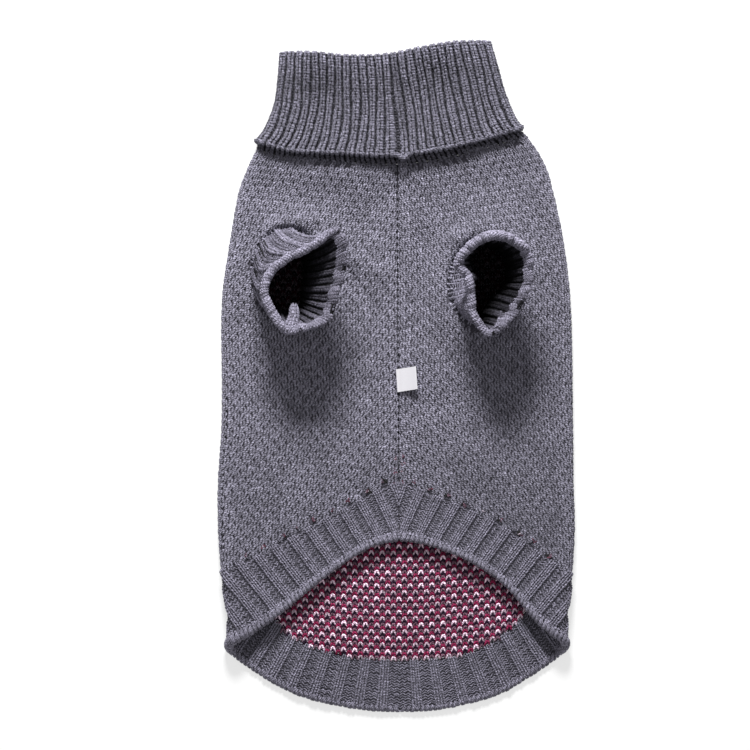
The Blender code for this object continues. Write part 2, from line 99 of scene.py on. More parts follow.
# %% Wire
class Wire:
    """One output in a material's node tree."""

    def __init__(self, tree, socket=None):
        self.tree = tree
        self.socket = socket

    def plug(self, value, into):
        if isinstance(value, Wire):
            self.tree.links.new(value.socket, into)
        elif isinstance(value, tuple) and into.type == "RGBA":
            into.default_value = (*value, 1.0)
        else:
            into.default_value = value

    def add(self, kind, settings=None, inputs=None, output=0):
        """Any node: its settings first, then the values or wires of its sockets."""
        node = self.tree.nodes.new("ShaderNode" + kind)
        for name, value in (settings or {}).items():
            setattr(node, name, value)
        for name, value in (inputs or {}).items():
            self.plug(value, node.inputs[name])
        return Wire(self.tree, node.outputs[output])

    def sum(self, operation, first, second=0.0):
        return self.add("Math", {"operation": operation}, {0: first, 1: second})

    def __add__(self, other):
        return self.sum("ADD", self, other)

    def __radd__(self, other):
        return self.sum("ADD", other, self)

    def __sub__(self, other):
        return self.sum("SUBTRACT", self, other)

    def __rsub__(self, other):
        return self.sum("SUBTRACT", other, self)

    def __mul__(self, other):
        return self.sum("MULTIPLY", self, other)

    def __rmul__(self, other):
        return self.sum("MULTIPLY", other, self)

    def mix(self, low, high, share, blend="MIX"):
        """Two colours, mixed by a share."""
        return self.add("Mix", {"data_type": "RGBA", "blend_type": blend}, {0: share, 6: low, 7: high}, 2)


BUMP_DEPTH = 0.0004


def surface(name, colour, roughness, sheen=0.0, bump=None, shine=0.25, glow=0.0):
    """A finished material; bump, and colour where it isn't plain, are functions that draw with a Wire."""
    material = bpy.data.materials.new(name)
    material.use_nodes = True
    tree = material.node_tree
    pen = Wire(tree)
    values = {"Base Color": colour(pen) if callable(colour) else colour, "Roughness": roughness,
              "Specular IOR Level": shine, "Sheen Weight": sheen, "Sheen Roughness": 0.4}
    if bump:
        height = {"Height": bump(pen), "Distance": BUMP_DEPTH, "Strength": 1.0}
        values["Normal"] = pen.add("Bump", None, height)
    if glow:
        values.update({"Emission Color": (1.0, 1.0, 1.0), "Emission Strength": glow})
    for socket, value in values.items():
        pen.plug(value, tree.nodes["Principled BSDF"].inputs[socket])
    return material


# %% [markdown]
# ## The form of the body
# The body's form is the one that the solids have: a flattened tube.  A place on it is given by how far round
# the tube it lies (turn: 0 at the belly seam, 0.5 at the right fold, 1 at the middle of the back), by its y,
# and by how deep it lies under the outer face.  All of it is in millimetres.

# %% Sizes of the cloth
SIDES = {-1: "left", 1: "right"}
BODY_WALL = 2.6
RIB_WALL = 2.2
SEAM_GAP = 0.3
HEM_SEAM_GAP = 0.4
LAYER_GAP = 0.4
FOLD_REACH = 6.0
FLAT_HEIGHT = 2 * BODY_WALL + LAYER_GAP
HALF_GIRTH = 213.0
NECK_RUN = 24.0
ARCH_LIFT = 3.6
SLEEVE_PULL = 3.4
PULL_REACH = 15.0
BELLY_SEAM_X = (0.5, 1.7)
BELLY_SEAM_Y = (126.0, -97.0)
HEM_RIBS_A_SIDE = 21
HEM_SEAM_RIB = 9.5
COLLAR_RIBS = 56
COLLAR_REACH = 7.0
COLLAR_LAYER = RIB_WALL + LAYER_GAP
COLLAR_AIR = 0.5
COLLAR_HALF_HEIGHT = (4 * RIB_WALL + 2 * LAYER_GAP + COLLAR_AIR) / 2
COLLAR_NECK = 1.08
SLEEVE_RIBS = 30


def table(names, rows):
    """Numbers under named columns; the first column is the one that is looked up."""
    return {name: np.array(column, float) for name, column in zip(names.split(), zip(*rows))}


# %% Outline of the body, the hem and the collar
BODY = table("y left right fold", (
    (146.0, -79.5, 75.5, 5.7),
    (136.0, -83.4, 83.6, 5.7),
    (124.8, -88.9, 89.9, 6.2),
    (110.4, -94.3, 94.1, 6.8),
    (81.6, -99.4, 100.1, 7.6),
    (45.6, -104.3, 104.3, 8.2),
    (-26.4, -104.5, 105.9, 7.6),
    (-62.4, -106.7, 106.2, 7.6),
    (-91.2, -106.7, 106.9, 8.2),
    (-120.0, -104.5, 105.2, 9.6),
    (-141.6, -101.0, 102.5, 11.2),
    (-163.0, -100.6, 101.4, 12.0)))
HEM = table("turn seam_left seam_right edge_left edge_right", (
    (0.0, -63.0, -63.0, -97.2, -97.2),
    (0.05, -67.0, -66.3, -99.2, -98.4),
    (0.1, -73.0, -71.0, -103.8, -101.3),
    (0.2, -84.5, -79.8, -118.5, -110.0),
    (0.3, -96.8, -90.9, -135.0, -124.5),
    (0.4, -108.6, -106.0, -150.5, -146.5),
    (0.5, -117.0, -119.0, -162.3, -161.8),
    (0.6, -134.5, -133.5, -177.4, -176.2),
    (0.7, -155.5, -155.0, -189.2, -188.8),
    (0.8, -164.6, -166.0, -195.6, -195.4),
    (0.9, -168.8, -169.3, -199.3, -199.4),
    (1.0, -170.3, -170.3, -200.4, -200.4)))
COLLAR = table("across fold edge", (
    (-1.0, 193.6, 140.4),
    (-0.75, 193.6, 134.6),
    (-0.4, 191.6, 133.0),
    (0.0, 192.0, 131.4),
    (0.35, 196.0, 134.6),
    (0.7, 199.6, 141.4),
    (1.0, 200.5, 148.4)))
COLLAR_SIDE = table("below left right", (
    (0.0, -69.2, 55.8),
    (0.3, -70.4, 60.4),
    (0.6, -72.8, 64.8),
    (0.88, -79.0, 70.9),
    (1.0, -84.1, 75.5),
    (1.1, -85.8, 81.0)))
# Each armhole as the x and y of its middle, then half its width and half its height.
ARMHOLES = {"left": (-65.8, 62.0, 22.8, 26.4), "right": (54.1, 54.9, 22.8, 27.4)}
ARMHOLE_SEAMS = {"left": (-65.0, 61.8, 20.8, 26.2), "right": (52.4, 55.6, 20.4, 26.0)}
CUFFS = {
    "left": table("x y height", (
        (-77.4, 55.4, 39.0),
        (-77.6, 45.5, 39.0),
        (-66.4, 26.8, 41.0),
        (-55.5, 26.0, 42.0),
        (-38.8, 33.4, 42.5),
        (-33.8, 50.2, 42.5),
        (-29.2, 65.9, 43.0),
        (-31.5, 82.5, 44.0),
        (-37.0, 85.6, 44.0),
        (-52.4, 74.1, 42.5),
        (-63.0, 69.4, 41.0),
        (-72.4, 63.4, 39.5))),
    "right": table("x y height", (
        (34.2, 66.0, 43.0),
        (40.4, 56.6, 41.5),
        (42.7, 45.5, 41.0),
        (45.5, 33.6, 41.5),
        (54.4, 23.2, 42.0),
        (65.4, 31.5, 42.5),
        (74.2, 43.0, 43.0),
        (78.8, 57.5, 43.0),
        (78.0, 71.0, 43.5),
        (69.0, 80.6, 44.0),
        (56.5, 83.4, 44.0),
        (43.5, 78.0, 43.5)))}


# %% Curves and the body's section
def look_up(tab, name, at):
    """Smooth curve through one column of a table, at values of its first column."""
    keys, values = next(iter(tab.values())), tab[name]
    if keys[0] > keys[-1]:
        keys, values = keys[::-1], values[::-1]
    at = np.clip(at, keys[0], keys[-1])
    k = np.clip(np.searchsorted(keys, at, side="left") - 1, 0, len(keys) - 2)
    lo = np.maximum(np.arange(len(keys)) - 1, 0)
    hi = np.minimum(np.arange(len(keys)) + 1, len(keys) - 1)
    slope = (values[hi] - values[lo]) / (keys[hi] - keys[lo])
    step = keys[k + 1] - keys[k]
    t = (at - keys[k]) / step
    return (values[k] * (1 + 2 * t) * (1 - t) ** 2 + slope[k] * step * t * (1 - t) ** 2
            + values[k + 1] * t * t * (3 - 2 * t) + slope[k + 1] * step * t * t * (t - 1))


def ease(t):
    """0 up to 1 with a soft start and end."""
    t = np.clip(t, 0.0, 1.0)
    return t * t * (3 - 2 * t)


def blend(low, high, share):
    return low + (high - low) * share


def hill(t):
    """1 at the middle, and down to 0 on both sides."""
    return np.exp(-t ** 2)


def side_of(x):
    return np.where(x > 0, 1.0, -1.0)


def either_side(tab, kind, side, at):
    """Looks up the right's column where side is above 0, and the left's elsewhere."""
    return np.where(side > 0, look_up(tab, kind + "right", at), look_up(tab, kind + "left", at))


def belly_seam_x(y):
    return blend(*BELLY_SEAM_X, (y - BELLY_SEAM_Y[0]) / (BELLY_SEAM_Y[1] - BELLY_SEAM_Y[0]))


def bend_length(reach, rise):
    """Round a fold: half an ellipse."""
    return np.pi * np.sqrt((reach ** 2 + rise ** 2) / 2)


def section(y, side):
    """Flat run, fold height and length of the fold's bend on one side (-1 left, 1 right)."""
    rise = look_up(BODY, "fold", y) / 2
    flat = np.abs(either_side(BODY, "", side, y) - belly_seam_x(y)) - FOLD_REACH
    return flat, rise, bend_length(FOLD_REACH, rise)


def hem_line(kind, turn):
    return either_side(HEM, kind + "_", turn, np.abs(turn))


def collar_sides(below):
    return look_up(COLLAR_SIDE, "left", below), look_up(COLLAR_SIDE, "right", below)


def collar_line(x, below):
    """y of the collar at x, below its fold by a share of the turned-down length."""
    left, right = collar_sides(below)
    share = (2 * x - left - right) / (right - left)
    return blend(look_up(COLLAR, "fold", share), look_up(COLLAR, "edge", share), below)


def neck_lift(x, y):
    return COLLAR_LAYER * ease(1 - (collar_line(x, COLLAR_NECK) - y) / NECK_RUN)


# %% Creases of the belly, and the pull of the sleeves
# Each crease as the x and y of both its ends, its height and its width.
CREASES = (
    (-91.5, 44.0, -88.0, 68.0, 1.5, 4.2),
    (-87.0, 70.0, -73.0, 89.5, 2.0, 3.8),
    (-73.0, 89.5, -50.0, 93.0, 1.6, 4.2),
    (-30.0, 72.0, -8.0, 61.0, 1.5, 5.0),
    (-26.0, 56.0, -12.0, 40.0, -0.9, 4.5),
    (-22.0, 92.0, -6.0, 108.0, -0.8, 7.0),
    (17.0, 82.0, 15.0, 24.0, -1.6, 8.0),
    (32.0, 82.0, 56.0, 90.0, 1.4, 4.5),
    (84.0, 76.0, 90.0, 40.0, 1.1, 5.0),
    (-94.0, 8.0, -60.0, -2.0, 0.8, 6.0),
    (-88.0, -48.0, -40.0, -30.0, 0.7, 9.0),
    (40.0, -46.0, 92.0, -70.0, 0.8, 8.0),
    (-60.0, 118.0, -10.0, 124.0, 0.6, 7.0),
    (10.0, -22.0, 60.0, -8.0, -0.5, 8.0))


def ring_distance(x, y, hole):
    """Roughly how far outside an armhole's ring a place lies."""
    mid_x, mid_y, half_x, half_y = hole
    return (np.hypot((x - mid_x) / half_x, (y - mid_y) / half_y) - 1) * (half_x + half_y) / 2


def sleeve_pull(x, y):
    """The sleeves lift the cloth round them; their seams lie in a groove."""
    pull = 0.0
    for name, hole in ARMHOLES.items():
        pull = pull + SLEEVE_PULL * hill(np.maximum(ring_distance(x, y, hole), 0) / PULL_REACH)
        deep = 1.2 + 1.6 * ease((y - hole[1] + 8) / 20)
        pull = pull - deep * hill(ring_distance(x, y, ARMHOLE_SEAMS[name]) / 2.0)
    return pull


def creases(x, y):
    """Soft ridges and troughs, each along a short line."""
    total = 0.0
    for x0, y0, x1, y1, height, width in CREASES:
        run_x, run_y = x1 - x0, y1 - y0
        near = np.clip(((x - x0) * run_x + (y - y0) * run_y) / (run_x ** 2 + run_y ** 2), 0, 1)
        total = total + height * hill(np.hypot(x - x0 - near * run_x, y - y0 - near * run_y) / width)
    return total


def unevenness(x, y):
    """Cloth never lies quite flat: slow swells."""
    swells = 0.30 * np.sin(x / 23 + y / 41 + 0.6) + 0.25 * np.sin(y / 29 - x / 57 + 2.1)
    return swells + 0.16 * np.sin(x / 9.5 + y / 15 + 1.3) * np.sin(y / 12 - 0.4)


def belly_seam_dip(x, y):
    """The two belly halves roll in towards the seam that joins them."""
    deep = 0.5 + 0.2 * ease((y + 60) / 60) + 0.5 * ease((y - 90) / 25)
    return -deep * hill((x - belly_seam_x(y)) / 1.5)


def inner_swell(x, y):
    """The back's inside swells a little from place to place."""
    return 1 + 0.10 * np.sin(x / 31 + 0.8) * np.sin(y / 22 + 1.0) + 0.05 * np.sin(x / 13 - y / 17)


# %% The belly's height, and places on the body
def together(*coordinates):
    """Points from their coordinates."""
    return np.stack(np.broadcast_arrays(*coordinates), -1)


def apart(points):
    """The coordinates of points."""
    return np.moveaxis(points, -1, 0)


def belly_top(x, y):
    """Height of the belly's outer face."""
    side = side_of(x - belly_seam_x(y))
    flat, rise, bend = section(y, side)
    out = np.abs(x - belly_seam_x(y))
    turn = side * np.minimum(out / (2 * flat + bend), 0.5)
    down = (hem_line("seam", turn) - y) / (hem_line("seam", turn) - hem_line("edge", turn))
    crown = FLAT_HEIGHT + sleeve_pull(x, y) + ARCH_LIFT * np.clip(down, 0, 1) ** 2
    crown = crown + unevenness(x, y) + creases(x, y) + belly_seam_dip(x, y)
    return neck_lift(x, y) + blend(crown, 2 * rise, np.minimum(out / flat, 1) ** 6)


def round_tube(turn, flat, bend, reach):
    """Whether a place lies over or under, how far out, how far round, and its angle in the fold."""
    run = np.abs(turn) * (2 * flat + bend)
    angle = np.pi * (0.5 - np.clip((run - flat) / bend, 0, 1))
    over, under = run < flat, run > flat + bend
    out = np.where(under, 2 * flat + bend - run, flat + reach * np.cos(angle))
    return over, under, np.where(over, run, out), run, angle


def body_place(turn, y, depth):
    """Points of the body, depth in from its outer face."""
    turn, y, depth = np.broadcast_arrays(turn, y, depth)
    flat, rise, bend = section(y, turn)
    over, under, out, _, angle = round_tube(turn, flat, bend, FOLD_REACH - depth)
    x = belly_seam_x(y) + side_of(turn) * out
    lift = neck_lift(x, y)
    z = np.where(under, lift + depth * inner_swell(x, y), lift + rise + (rise - depth) * np.sin(angle))
    return together(x, y, np.where(over, belly_top(x, y) - depth, z))


def neck_line(turn, depth):
    """y at which the neck seam crosses a line that runs down the body."""
    y = collar_line(np.zeros_like(turn), COLLAR_NECK)
    for _ in range(4):
        y = collar_line(body_place(turn, y, depth)[..., 0], COLLAR_NECK)
    return y


print("belly height in the middle:", round(float(belly_top(10.0, 0.0)), 1), "mm")

# %% [markdown]
# ## Walls of cloth
# A piece of knit is a thin wall with an outer and an inner face, closed along its edges.  It is built from
# two grids of points of the same size, which keeps the cloth's thickness under control everywhere.

# %% Meshes from grids
def mesh_object(name, points, faces, material):
    """A mesh from points in millimetres and four-cornered faces; nothing reaches below the floor."""
    mesh = bpy.data.meshes.new(name)
    mesh.vertices.add(len(points))
    resting = np.c_[points[:, :2], np.maximum(points[:, 2], 0.0)]
    mesh.vertices.foreach_set("co", (resting * MM).astype(np.float32).ravel())
    mesh.loops.add(faces.size)
    mesh.loops.foreach_set("vertex_index", faces.astype(np.int32).ravel())
    mesh.polygons.add(len(faces))
    mesh.polygons.foreach_set("loop_start", np.arange(len(faces), dtype=np.int32) * 4)
    mesh.update(calc_edges=True)
    mesh.shade_smooth()
    mesh.materials.append(material)
    return new_object(name, mesh)


def grid_faces(rows, columns, closed=False):
    """Faces of a grid whose points are numbered row by row."""
    r, c = np.meshgrid(np.arange(rows - 1), np.arange(columns if closed else columns - 1), indexing="ij")
    right = (c + 1) % columns
    return np.stack([r * columns + c, r * columns + right, (r + 1) * columns + right, (r + 1) * columns + c],
                    -1).reshape(-1, 4)


def cloth_wall(name, outside, inside, material, tube=False):
    """Closed wall between two grids (rows, columns, 3)."""
    rows, columns = outside.shape[:2]
    count = rows * columns
    faces = grid_faces(rows, columns, tube)
    across = np.arange(columns if tube else columns - 1)
    right, last = (across + 1) % columns, (rows - 1) * columns
    rims = [(across, right), (right + last, across + last)]
    if not tube:
        down = np.arange(rows - 1) * columns
        rims += [(down + columns, down), (down + columns - 1, down + 2 * columns - 1)]
    faces = [faces, faces[:, ::-1] + count] + [np.stack([b, a, a + count, b + count], -1) for a, b in rims]
    points = np.concatenate([outside.reshape(-1, 3), inside.reshape(-1, 3)])
    piece = mesh_object(name, points, np.concatenate(faces), material)
    mesh = piece.data
    mesh.calc_loop_triangles()
    corners = points[np.array([t.vertices[:] for t in mesh.loop_triangles])]
    volume = (corners[:, 0] * np.cross(corners[:, 1], corners[:, 2])).sum()
    if volume < 0:
        mesh.flip_normals()
    mesh.set_sharp_from_angle(angle=math.radians(60))
    return piece


# %% [markdown]
# ## Yarn
# Each stitch is a loop of yarn.  Only its upper half shows, so a stitch is made as a half tube that follows
# the loop's path.  Paths are drawn on flat cloth (millimetres across, along and up), and are then laid onto
# the form.

# %% Half tubes
YARN_SIDES = 5
PLY_PITCH = 1.5


def unit(vectors):
    return vectors / np.linalg.norm(vectors, axis=-1, keepdims=True)


def half_tube(path, radius, sides=YARN_SIDES, flatness=1.0):
    """Half tubes along paths (n, rings, 3), as points (n, rings, sides, 3) on flat cloth."""
    radius = np.broadcast_to(radius, path.shape[:2])[..., None]
    step = np.gradient(path, axis=1)
    side = unit(together(step[..., 1], -step[..., 0]))
    angle = np.radians(np.linspace(-84, 84, sides))
    tube = np.repeat(path[:, :, None, :], sides, 2)
    tube[..., :2] += side[:, :, None, :] * (radius * np.sin(angle))[..., None]
    tube[..., 2] += flatness * radius * np.cos(angle)
    return tube


def ply_twist(place):
    """How far the plies have turned round at each point of the yarns."""
    n, _, sides = place.shape[:3]
    steps = np.linalg.norm(np.diff(place[:, :, sides // 2], axis=1), axis=-1)
    gone = np.concatenate([np.zeros((n, 1)), np.cumsum(steps, 1)], 1)
    start = chance.uniform(0, 1, n)[:, None, None]
    return gone[:, :, None] / PLY_PITCH + np.linspace(-0.4, 0.4, sides) + start


# %% One mesh for all the yarns of a piece
triangles = {}


def yarn_object(name, batches, material):
    """One mesh of many half tubes.  A batch is (points in place, colours of its yarns)."""
    points, faces, maps, tints, crowns, twists = [], [], [], [], [], []
    count = 0
    number = 0
    strands = sum(len(place) for place, _ in batches)
    columns = math.ceil(math.sqrt(strands))
    for place, tint in batches:
        n, rings, sides = place.shape[:3]
        first = count + np.arange(n)[:, None, None] * rings * sides
        faces.append((grid_faces(rings, sides) + first).reshape(-1, 4))
        points.append(place.reshape(-1, 3))
        cell = np.arange(number, number + n)[:, None, None]
        u = cell % columns + blend(0.08, 0.92, np.linspace(0, 1, sides))
        v = cell // columns + blend(0.04, 0.96, np.linspace(0, 1, rings))[:, None]
        maps.append(together(u / columns, v / columns).reshape(-1, 2))
        tints.append(np.repeat(tint, rings * sides, 0))
        # crown is 1 on top of each half tube and less at its sides; the yarn's colour uses it for painted
        # shade.
        crowns.append(np.tile(np.cos(np.linspace(-1.4, 1.4, sides)), n * rings))
        twists.append(ply_twist(place).ravel())
        count += n * rings * sides
        number += n
    faces = np.concatenate(faces)
    piece = mesh_object(name, np.concatenate(points), faces, material)
    mesh = piece.data
    layer = mesh.uv_layers.new(name="OFBake")
    layer.uv.foreach_set("vector", np.concatenate(maps)[faces.ravel()].astype(np.float32).ravel())
    colour = mesh.color_attributes.new("yarn", "FLOAT_COLOR", "POINT")
    tints = np.concatenate(tints)
    colour.data.foreach_set("color", np.c_[tints, np.ones(len(tints))].astype(np.float32).ravel())
    for kind, values in (("crown", crowns), ("twist", twists)):
        data = mesh.attributes.new(kind, "FLOAT", "POINT").data
        data.foreach_set("value", np.concatenate(values).astype(np.float32))
    triangles[name] = len(faces) * 2
    print(f"{name}: {strands} lengths of yarn, {triangles[name]} triangles")
    return piece


# %% [markdown]
# ## Yarn finish
# The yarn is a soft, matt cotton and acrylic mix.  Its fibres give it a fine grain and a faint sheen.
# Painted shade darkens each strand towards its sides, the plies are painted lighter and darker where they
# pass over each other, and painted highlights stand for stray fibres that catch the light.

# %% Yarn and cloth materials
GREY = (0.196, 0.188, 0.239)
# Colours of the cloth under the stitches: its own dark yarn, painted darker as the shade between the
# stitches.
BACKING_IN_SHADE = (0.024, 0.022, 0.030), (0.085, 0.081, 0.104)


def grain(pen, scale):
    place = pen.add("TexCoord", None, None, "Object")
    return pen.add("TexNoise", None, {"Vector": place, "Scale": scale, "Detail": 3.0, "Roughness": 0.7})


def plies(pen):
    """Light and dark along a yarn where its plies pass over each other: -1 to 1."""
    twist = pen.add("Attribute", {"attribute_name": "twist"}, None, "Fac")
    return pen.sum("SINE", twist * (2 * math.pi))


def shade(pen, colour, light):
    """A colour made lighter or darker."""
    grey = pen.add("CombineColor", None, {"Red": light, "Green": light, "Blue": light})
    return pen.mix(colour, grey, 1.0, "MULTIPLY")


def yarn_colour(pen):
    crown = pen.add("Attribute", {"attribute_name": "crown"}, None, "Fac")
    # Painted shade darkens each strand towards its sides, by crown, and the plies are painted lighter and
    # darker where they pass over each other; the grain is the yarn's own.
    light = (grain(pen, 850.0) * 4.0 - 1.02) * (grain(pen, 45.0) * 0.3 + 0.85) * (crown * 0.10 + 0.91)
    # Painted highlights where stray fibres catch the light.
    stray_highlight = pen.add("MapRange", None, {"Value": grain(pen, 1100.0), "From Min": 0.57, "From Max": 0.72})
    light = light * (plies(pen) * 0.22 + 1.0) + stray_highlight * 0.8
    return shade(pen, pen.add("VertexColor", {"layer_name": "yarn"}), light)


def yarn_bump(pen):
    return grain(pen, 1500.0) + plies(pen) * 0.35


def cloth_grain(pen):
    return grain(pen, 900.0)


def shaded_backing_cloth(name, light):
    """The cloth under the stitches: its own dark yarn, painted darker as the shade between stitches; light
    scales its colours to the shade where it lies.
    """
    low, high = (tuple(np.array(colour) * light) for colour in BACKING_IN_SHADE)
    return surface(name, lambda pen: pen.mix(low, high, cloth_grain(pen)), 0.95, 0.0, cloth_grain)


yarn = surface("yarn", yarn_colour, 0.92, 0.12, yarn_bump)
inside_yarn = surface("inside_yarn", yarn_colour, 0.95, 0.0, yarn_bump, 0.08)
# Lit and shaded copies of the backing, as painted shade: lighter on the body, darker in the hem, darker
# again in the collar's grooves and darkest deep in the cuffs.
backing = shaded_backing_cloth("backing", 1.15)
hem_backing = shaded_backing_cloth("hem_backing", 0.75)
rib_backing = shaded_backing_cloth("rib_backing", 0.30)
cuff_backing = shaded_backing_cloth("cuff_backing", 0.10)

# %% [markdown]
# ## The body's cloth
# The cloth under the stitches is a thin wall, sunk by the height of the yarn, so that what shows between two
# stitches is the yarn of the cloth's other side, painted dark as the shade there.  The back panel turns
# round both side folds; where it lies on the floor it isn't sunk.

# %% Rows and columns of the body walls
SUNK = 0.95
INNER_SUNK = 0.45
STEPS = np.linspace(0.0, 1.0, 121)
BESIDE_SEAM = 0.0007
PAST_FOLD = 0.56


def side_seam(side):
    return turn_at("seam", side, HEM_SEAM_RIB / HEM_RIBS_A_SIDE)


def line_lengths(kind, side):
    """Length along a hem line from the belly seam, at equal steps of turn."""
    y = hem_line(kind, side * np.maximum(STEPS, 1e-6))
    flat, _, bend = section(y, side)
    around = np.maximum(STEPS, 1e-6) * (2 * flat + bend)
    return np.concatenate([[0.0], np.cumsum(np.hypot(np.diff(around), np.diff(y)))])


def turn_at(kind, side, share):
    """Turn at which a share of a hem line's length is reached."""
    lengths = line_lengths(kind, side)
    return np.interp(np.asarray(share) * lengths[-1], lengths, STEPS)


def panel(turns, depth, sunk):
    """Grid of a body panel from the neck seam down to the hem seam."""
    turn, share = np.meshgrid(turns, STEPS)
    top = neck_line(turn, 0.0) - SEAM_GAP / 2
    low = hem_line("seam", turn) + HEM_SEAM_GAP / 2
    return body_place(turn, blend(top, low, share), depth + sunk)


# %% Back panel and belly panels
def dress(piece, node, stitches=()):
    """Puts a piece of cloth and its stitches under the root, and hides the part that it stands for."""
    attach(piece, "root")
    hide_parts(node)
    for part in stitches:
        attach(part, "root")


def wrap_turns():
    """Turns of the back panel's columns: close together round the folds."""
    under = np.linspace(PAST_FOLD, 1.0, 34)[1:]
    right, left = (np.concatenate([np.linspace(side_seam(side), PAST_FOLD, 22), under]) for side in (1, -1))
    return np.concatenate([right, -left[-2::-1]])


def on_ring(hole, angle, inset=0.0):
    """x and y on an armhole's ring, or a little inside it."""
    x, y, half_x, half_y = hole
    return together(x + (half_x - inset) * np.cos(angle), y + (half_y - inset) * np.sin(angle))


def cut_hole(piece, hole, count=72):
    """Cuts the armhole out of a belly panel."""
    ring = np.c_[on_ring(hole, np.linspace(0, 2 * np.pi, count + 1)[:-1]), np.zeros(count)]
    stack = np.stack([ring - (0, 0, 10), ring + (0, 0, 40)])
    points = np.concatenate([stack.reshape(-1, 3), stack.mean(1)])
    faces = [tuple(int(i) for i in f) for f in grid_faces(2, count, True)]
    faces += [((k + 1) % count, k, 2 * count) for k in range(count)]
    faces += [(count + k, count + (k + 1) % count, 2 * count + 1) for k in range(count)]
    mesh = bpy.data.meshes.new("cutter")
    mesh.from_pydata(points * MM, [], faces)
    cutter = new_object("cutter", mesh)
    cut = piece.modifiers.new("armhole", "BOOLEAN")
    cut.operation, cut.solver, cut.object = "DIFFERENCE", "EXACT", cutter
    bpy.context.view_layer.update()
    done = bpy.data.meshes.new_from_object(piece.evaluated_get(bpy.context.evaluated_depsgraph_get()))
    piece.modifiers.clear()
    piece.data = done
    bpy.data.objects.remove(cutter)


back = cloth_wall("back_panel_cloth", panel(wrap_turns(), 0.0, SUNK),
                  panel(wrap_turns(), BODY_WALL, -INNER_SUNK), backing)
bellies = {}
for side, name in SIDES.items():
    turns = side * np.concatenate([[BESIDE_SEAM], np.linspace(0.004, side_seam(side) - BESIDE_SEAM, 60)])
    bellies[name] = cloth_wall(f"belly_{name}_cloth", panel(turns, 0.0, SUNK),
                               panel(turns, BODY_WALL, 0.0), backing)
    cut_hole(bellies[name], ARMHOLE_SEAMS[name])

# %% [markdown]
# ## The grey face
# Grey knit, its columns running from neck to hem.  A column isn't quite straight: it zigzags a little from
# row to row, away from its neighbour on one row and towards it on the next, and that opens the small dark
# slits between the stitches.

# %% Places on the flat cloth of the body
WALE = 3.5
COURSE = 3.88
WALES_HALF_ROUND = 60
LEAN = table("y left right", (
    (130.0, 5.0, 2.0),
    (90.0, 4.5, 1.5),
    (57.0, 2.0, 0.0),
    (15.0, -1.0, -2.0),
    (-15.0, -1.0, 1.0),
    (-45.0, 2.3, 5.8),
    (-75.0, 5.0, 5.5),
    (-125.0, 5.0, 4.0)))


def row_sag(x, y):
    """Rows dip towards the belly seam, steeply beside it on the right."""
    right = blend(16 * (1 - np.exp(-np.abs(x) / 45)), 0.14 * np.abs(x), ease((y + 55) / 60))
    return np.where(x > 0, right, 0.09 * np.abs(x))


def column_shift(side, y):
    """How far the columns have run away from the belly seam, by the leans of the table."""
    steps = np.linspace(130.0, -125.0, 256)
    lean = np.interp(-steps, -LEAN["y"], LEAN["right" if side > 0 else "left"])
    return np.interp(-y, -steps, np.cumsum(np.tan(np.radians(lean))))


def grey_face(side, across, along, height):
    """The body's outer face.  across is counted from the belly seam, along is y at that seam."""
    across = across + column_shift(side, along)
    across = 0.4 * np.logaddexp(0, (across - 0.3) / 0.4) + 0.40 * np.sin(along * 1.62)
    across = across + 0.08 + 0.08 * ease((along + 60) / 60) + 0.22 * ease((along - 90) / 25)
    turn = side * across / (WALE * WALES_HALF_ROUND)
    rough_x = np.clip(turn * HALF_GIRTH, -104, 104)
    return body_place(turn, along + row_sag(rough_x, along), -height)


# %% Ring stitches
def every(*ranges):
    """Every combination of the numbers of some ranges."""
    return (numbers.ravel().astype(float) for numbers in np.meshgrid(*ranges))


def shake(paths, *spreads):
    """Moves each yarn a little across, along and up."""
    for axis, spread in enumerate(spreads):
        paths[..., axis] += chance.normal(0, spread, len(paths))[:, None]


def uneven(n, low, high):
    """A factor for each of n yarns."""
    return chance.uniform(low, high, n)[:, None]


def ring_stitches(wale, course, lean, size, fine):
    """Paths of ring stitches: up one leg, over the top, and down the other leg."""
    half_v = np.array([-1.15, -0.78, -0.42, -0.12] if fine else [-1.10, -0.45])
    half_u = np.interp(half_v, [-1.2, -0.9, -0.5, -0.25, -0.1], [0.17, 0.24, 0.255, 0.275, 0.25])
    half_h = np.interp(half_v, [-1.15, -0.78, -0.42, -0.12], [-0.84, -0.50, -0.36, -0.48])
    half_radius = np.interp(half_v, [-1.15, -0.78, -0.42], [0.57, 0.65, 0.67])
    u = np.concatenate([-half_u, [0.0], half_u[::-1]])
    v, h, radius = (np.concatenate([half, [top], half[::-1]])
                    for half, top in ((half_v, 0.12), (half_h, -0.84), (half_radius, 0.50)))
    spread = uneven(len(wale), 0.90, 1.12)
    x = (wale[:, None] + 0.5 + u * spread) * WALE + lean[:, None] * np.cos(np.pi * v)
    x = x + chance.normal(0, 0.05, x.shape)
    return together(x, (course[:, None] + v) * COURSE, h), size * radius


# %% Openings beside the seams
def seam_holes():
    """Small openings where the ribs of the hem and the collar pull at the body's last row: x, y and size."""
    holes = []
    for side in SIDES:
        for rib in np.arange(0.5, 9.0):
            turn = side * turn_at("seam", side, (rib + 0.27 + chance.normal(0, 0.11)) / HEM_RIBS_A_SIDE)
            y = hem_line("seam", turn) + chance.uniform(1.4, 3.4)
            holes.append((float(body_place(turn, y, 0.0)[0]), float(y), chance.uniform(1.1, 2.5)))
    for x in np.arange(-70, 72, 6.1):
        holes.append((x, float(collar_line(x, 1.09)), chance.uniform(1.0, 1.6)))
    return np.array(holes)


def clear_of(holes, x, y):
    return (np.hypot(x[:, None] - holes[:, 0], y[:, None] - holes[:, 1]) > holes[:, 2]).all(1)


SEAM_HOLES = seam_holes()
print("openings beside the seams:", len(SEAM_HOLES))


# %% Stitches of the grey face
BODY_COURSES = np.arange(-50, 46)
NECK_END = 1.05
HEM_CLEAR = 1.3
HOLE_CLEAR = 1.0


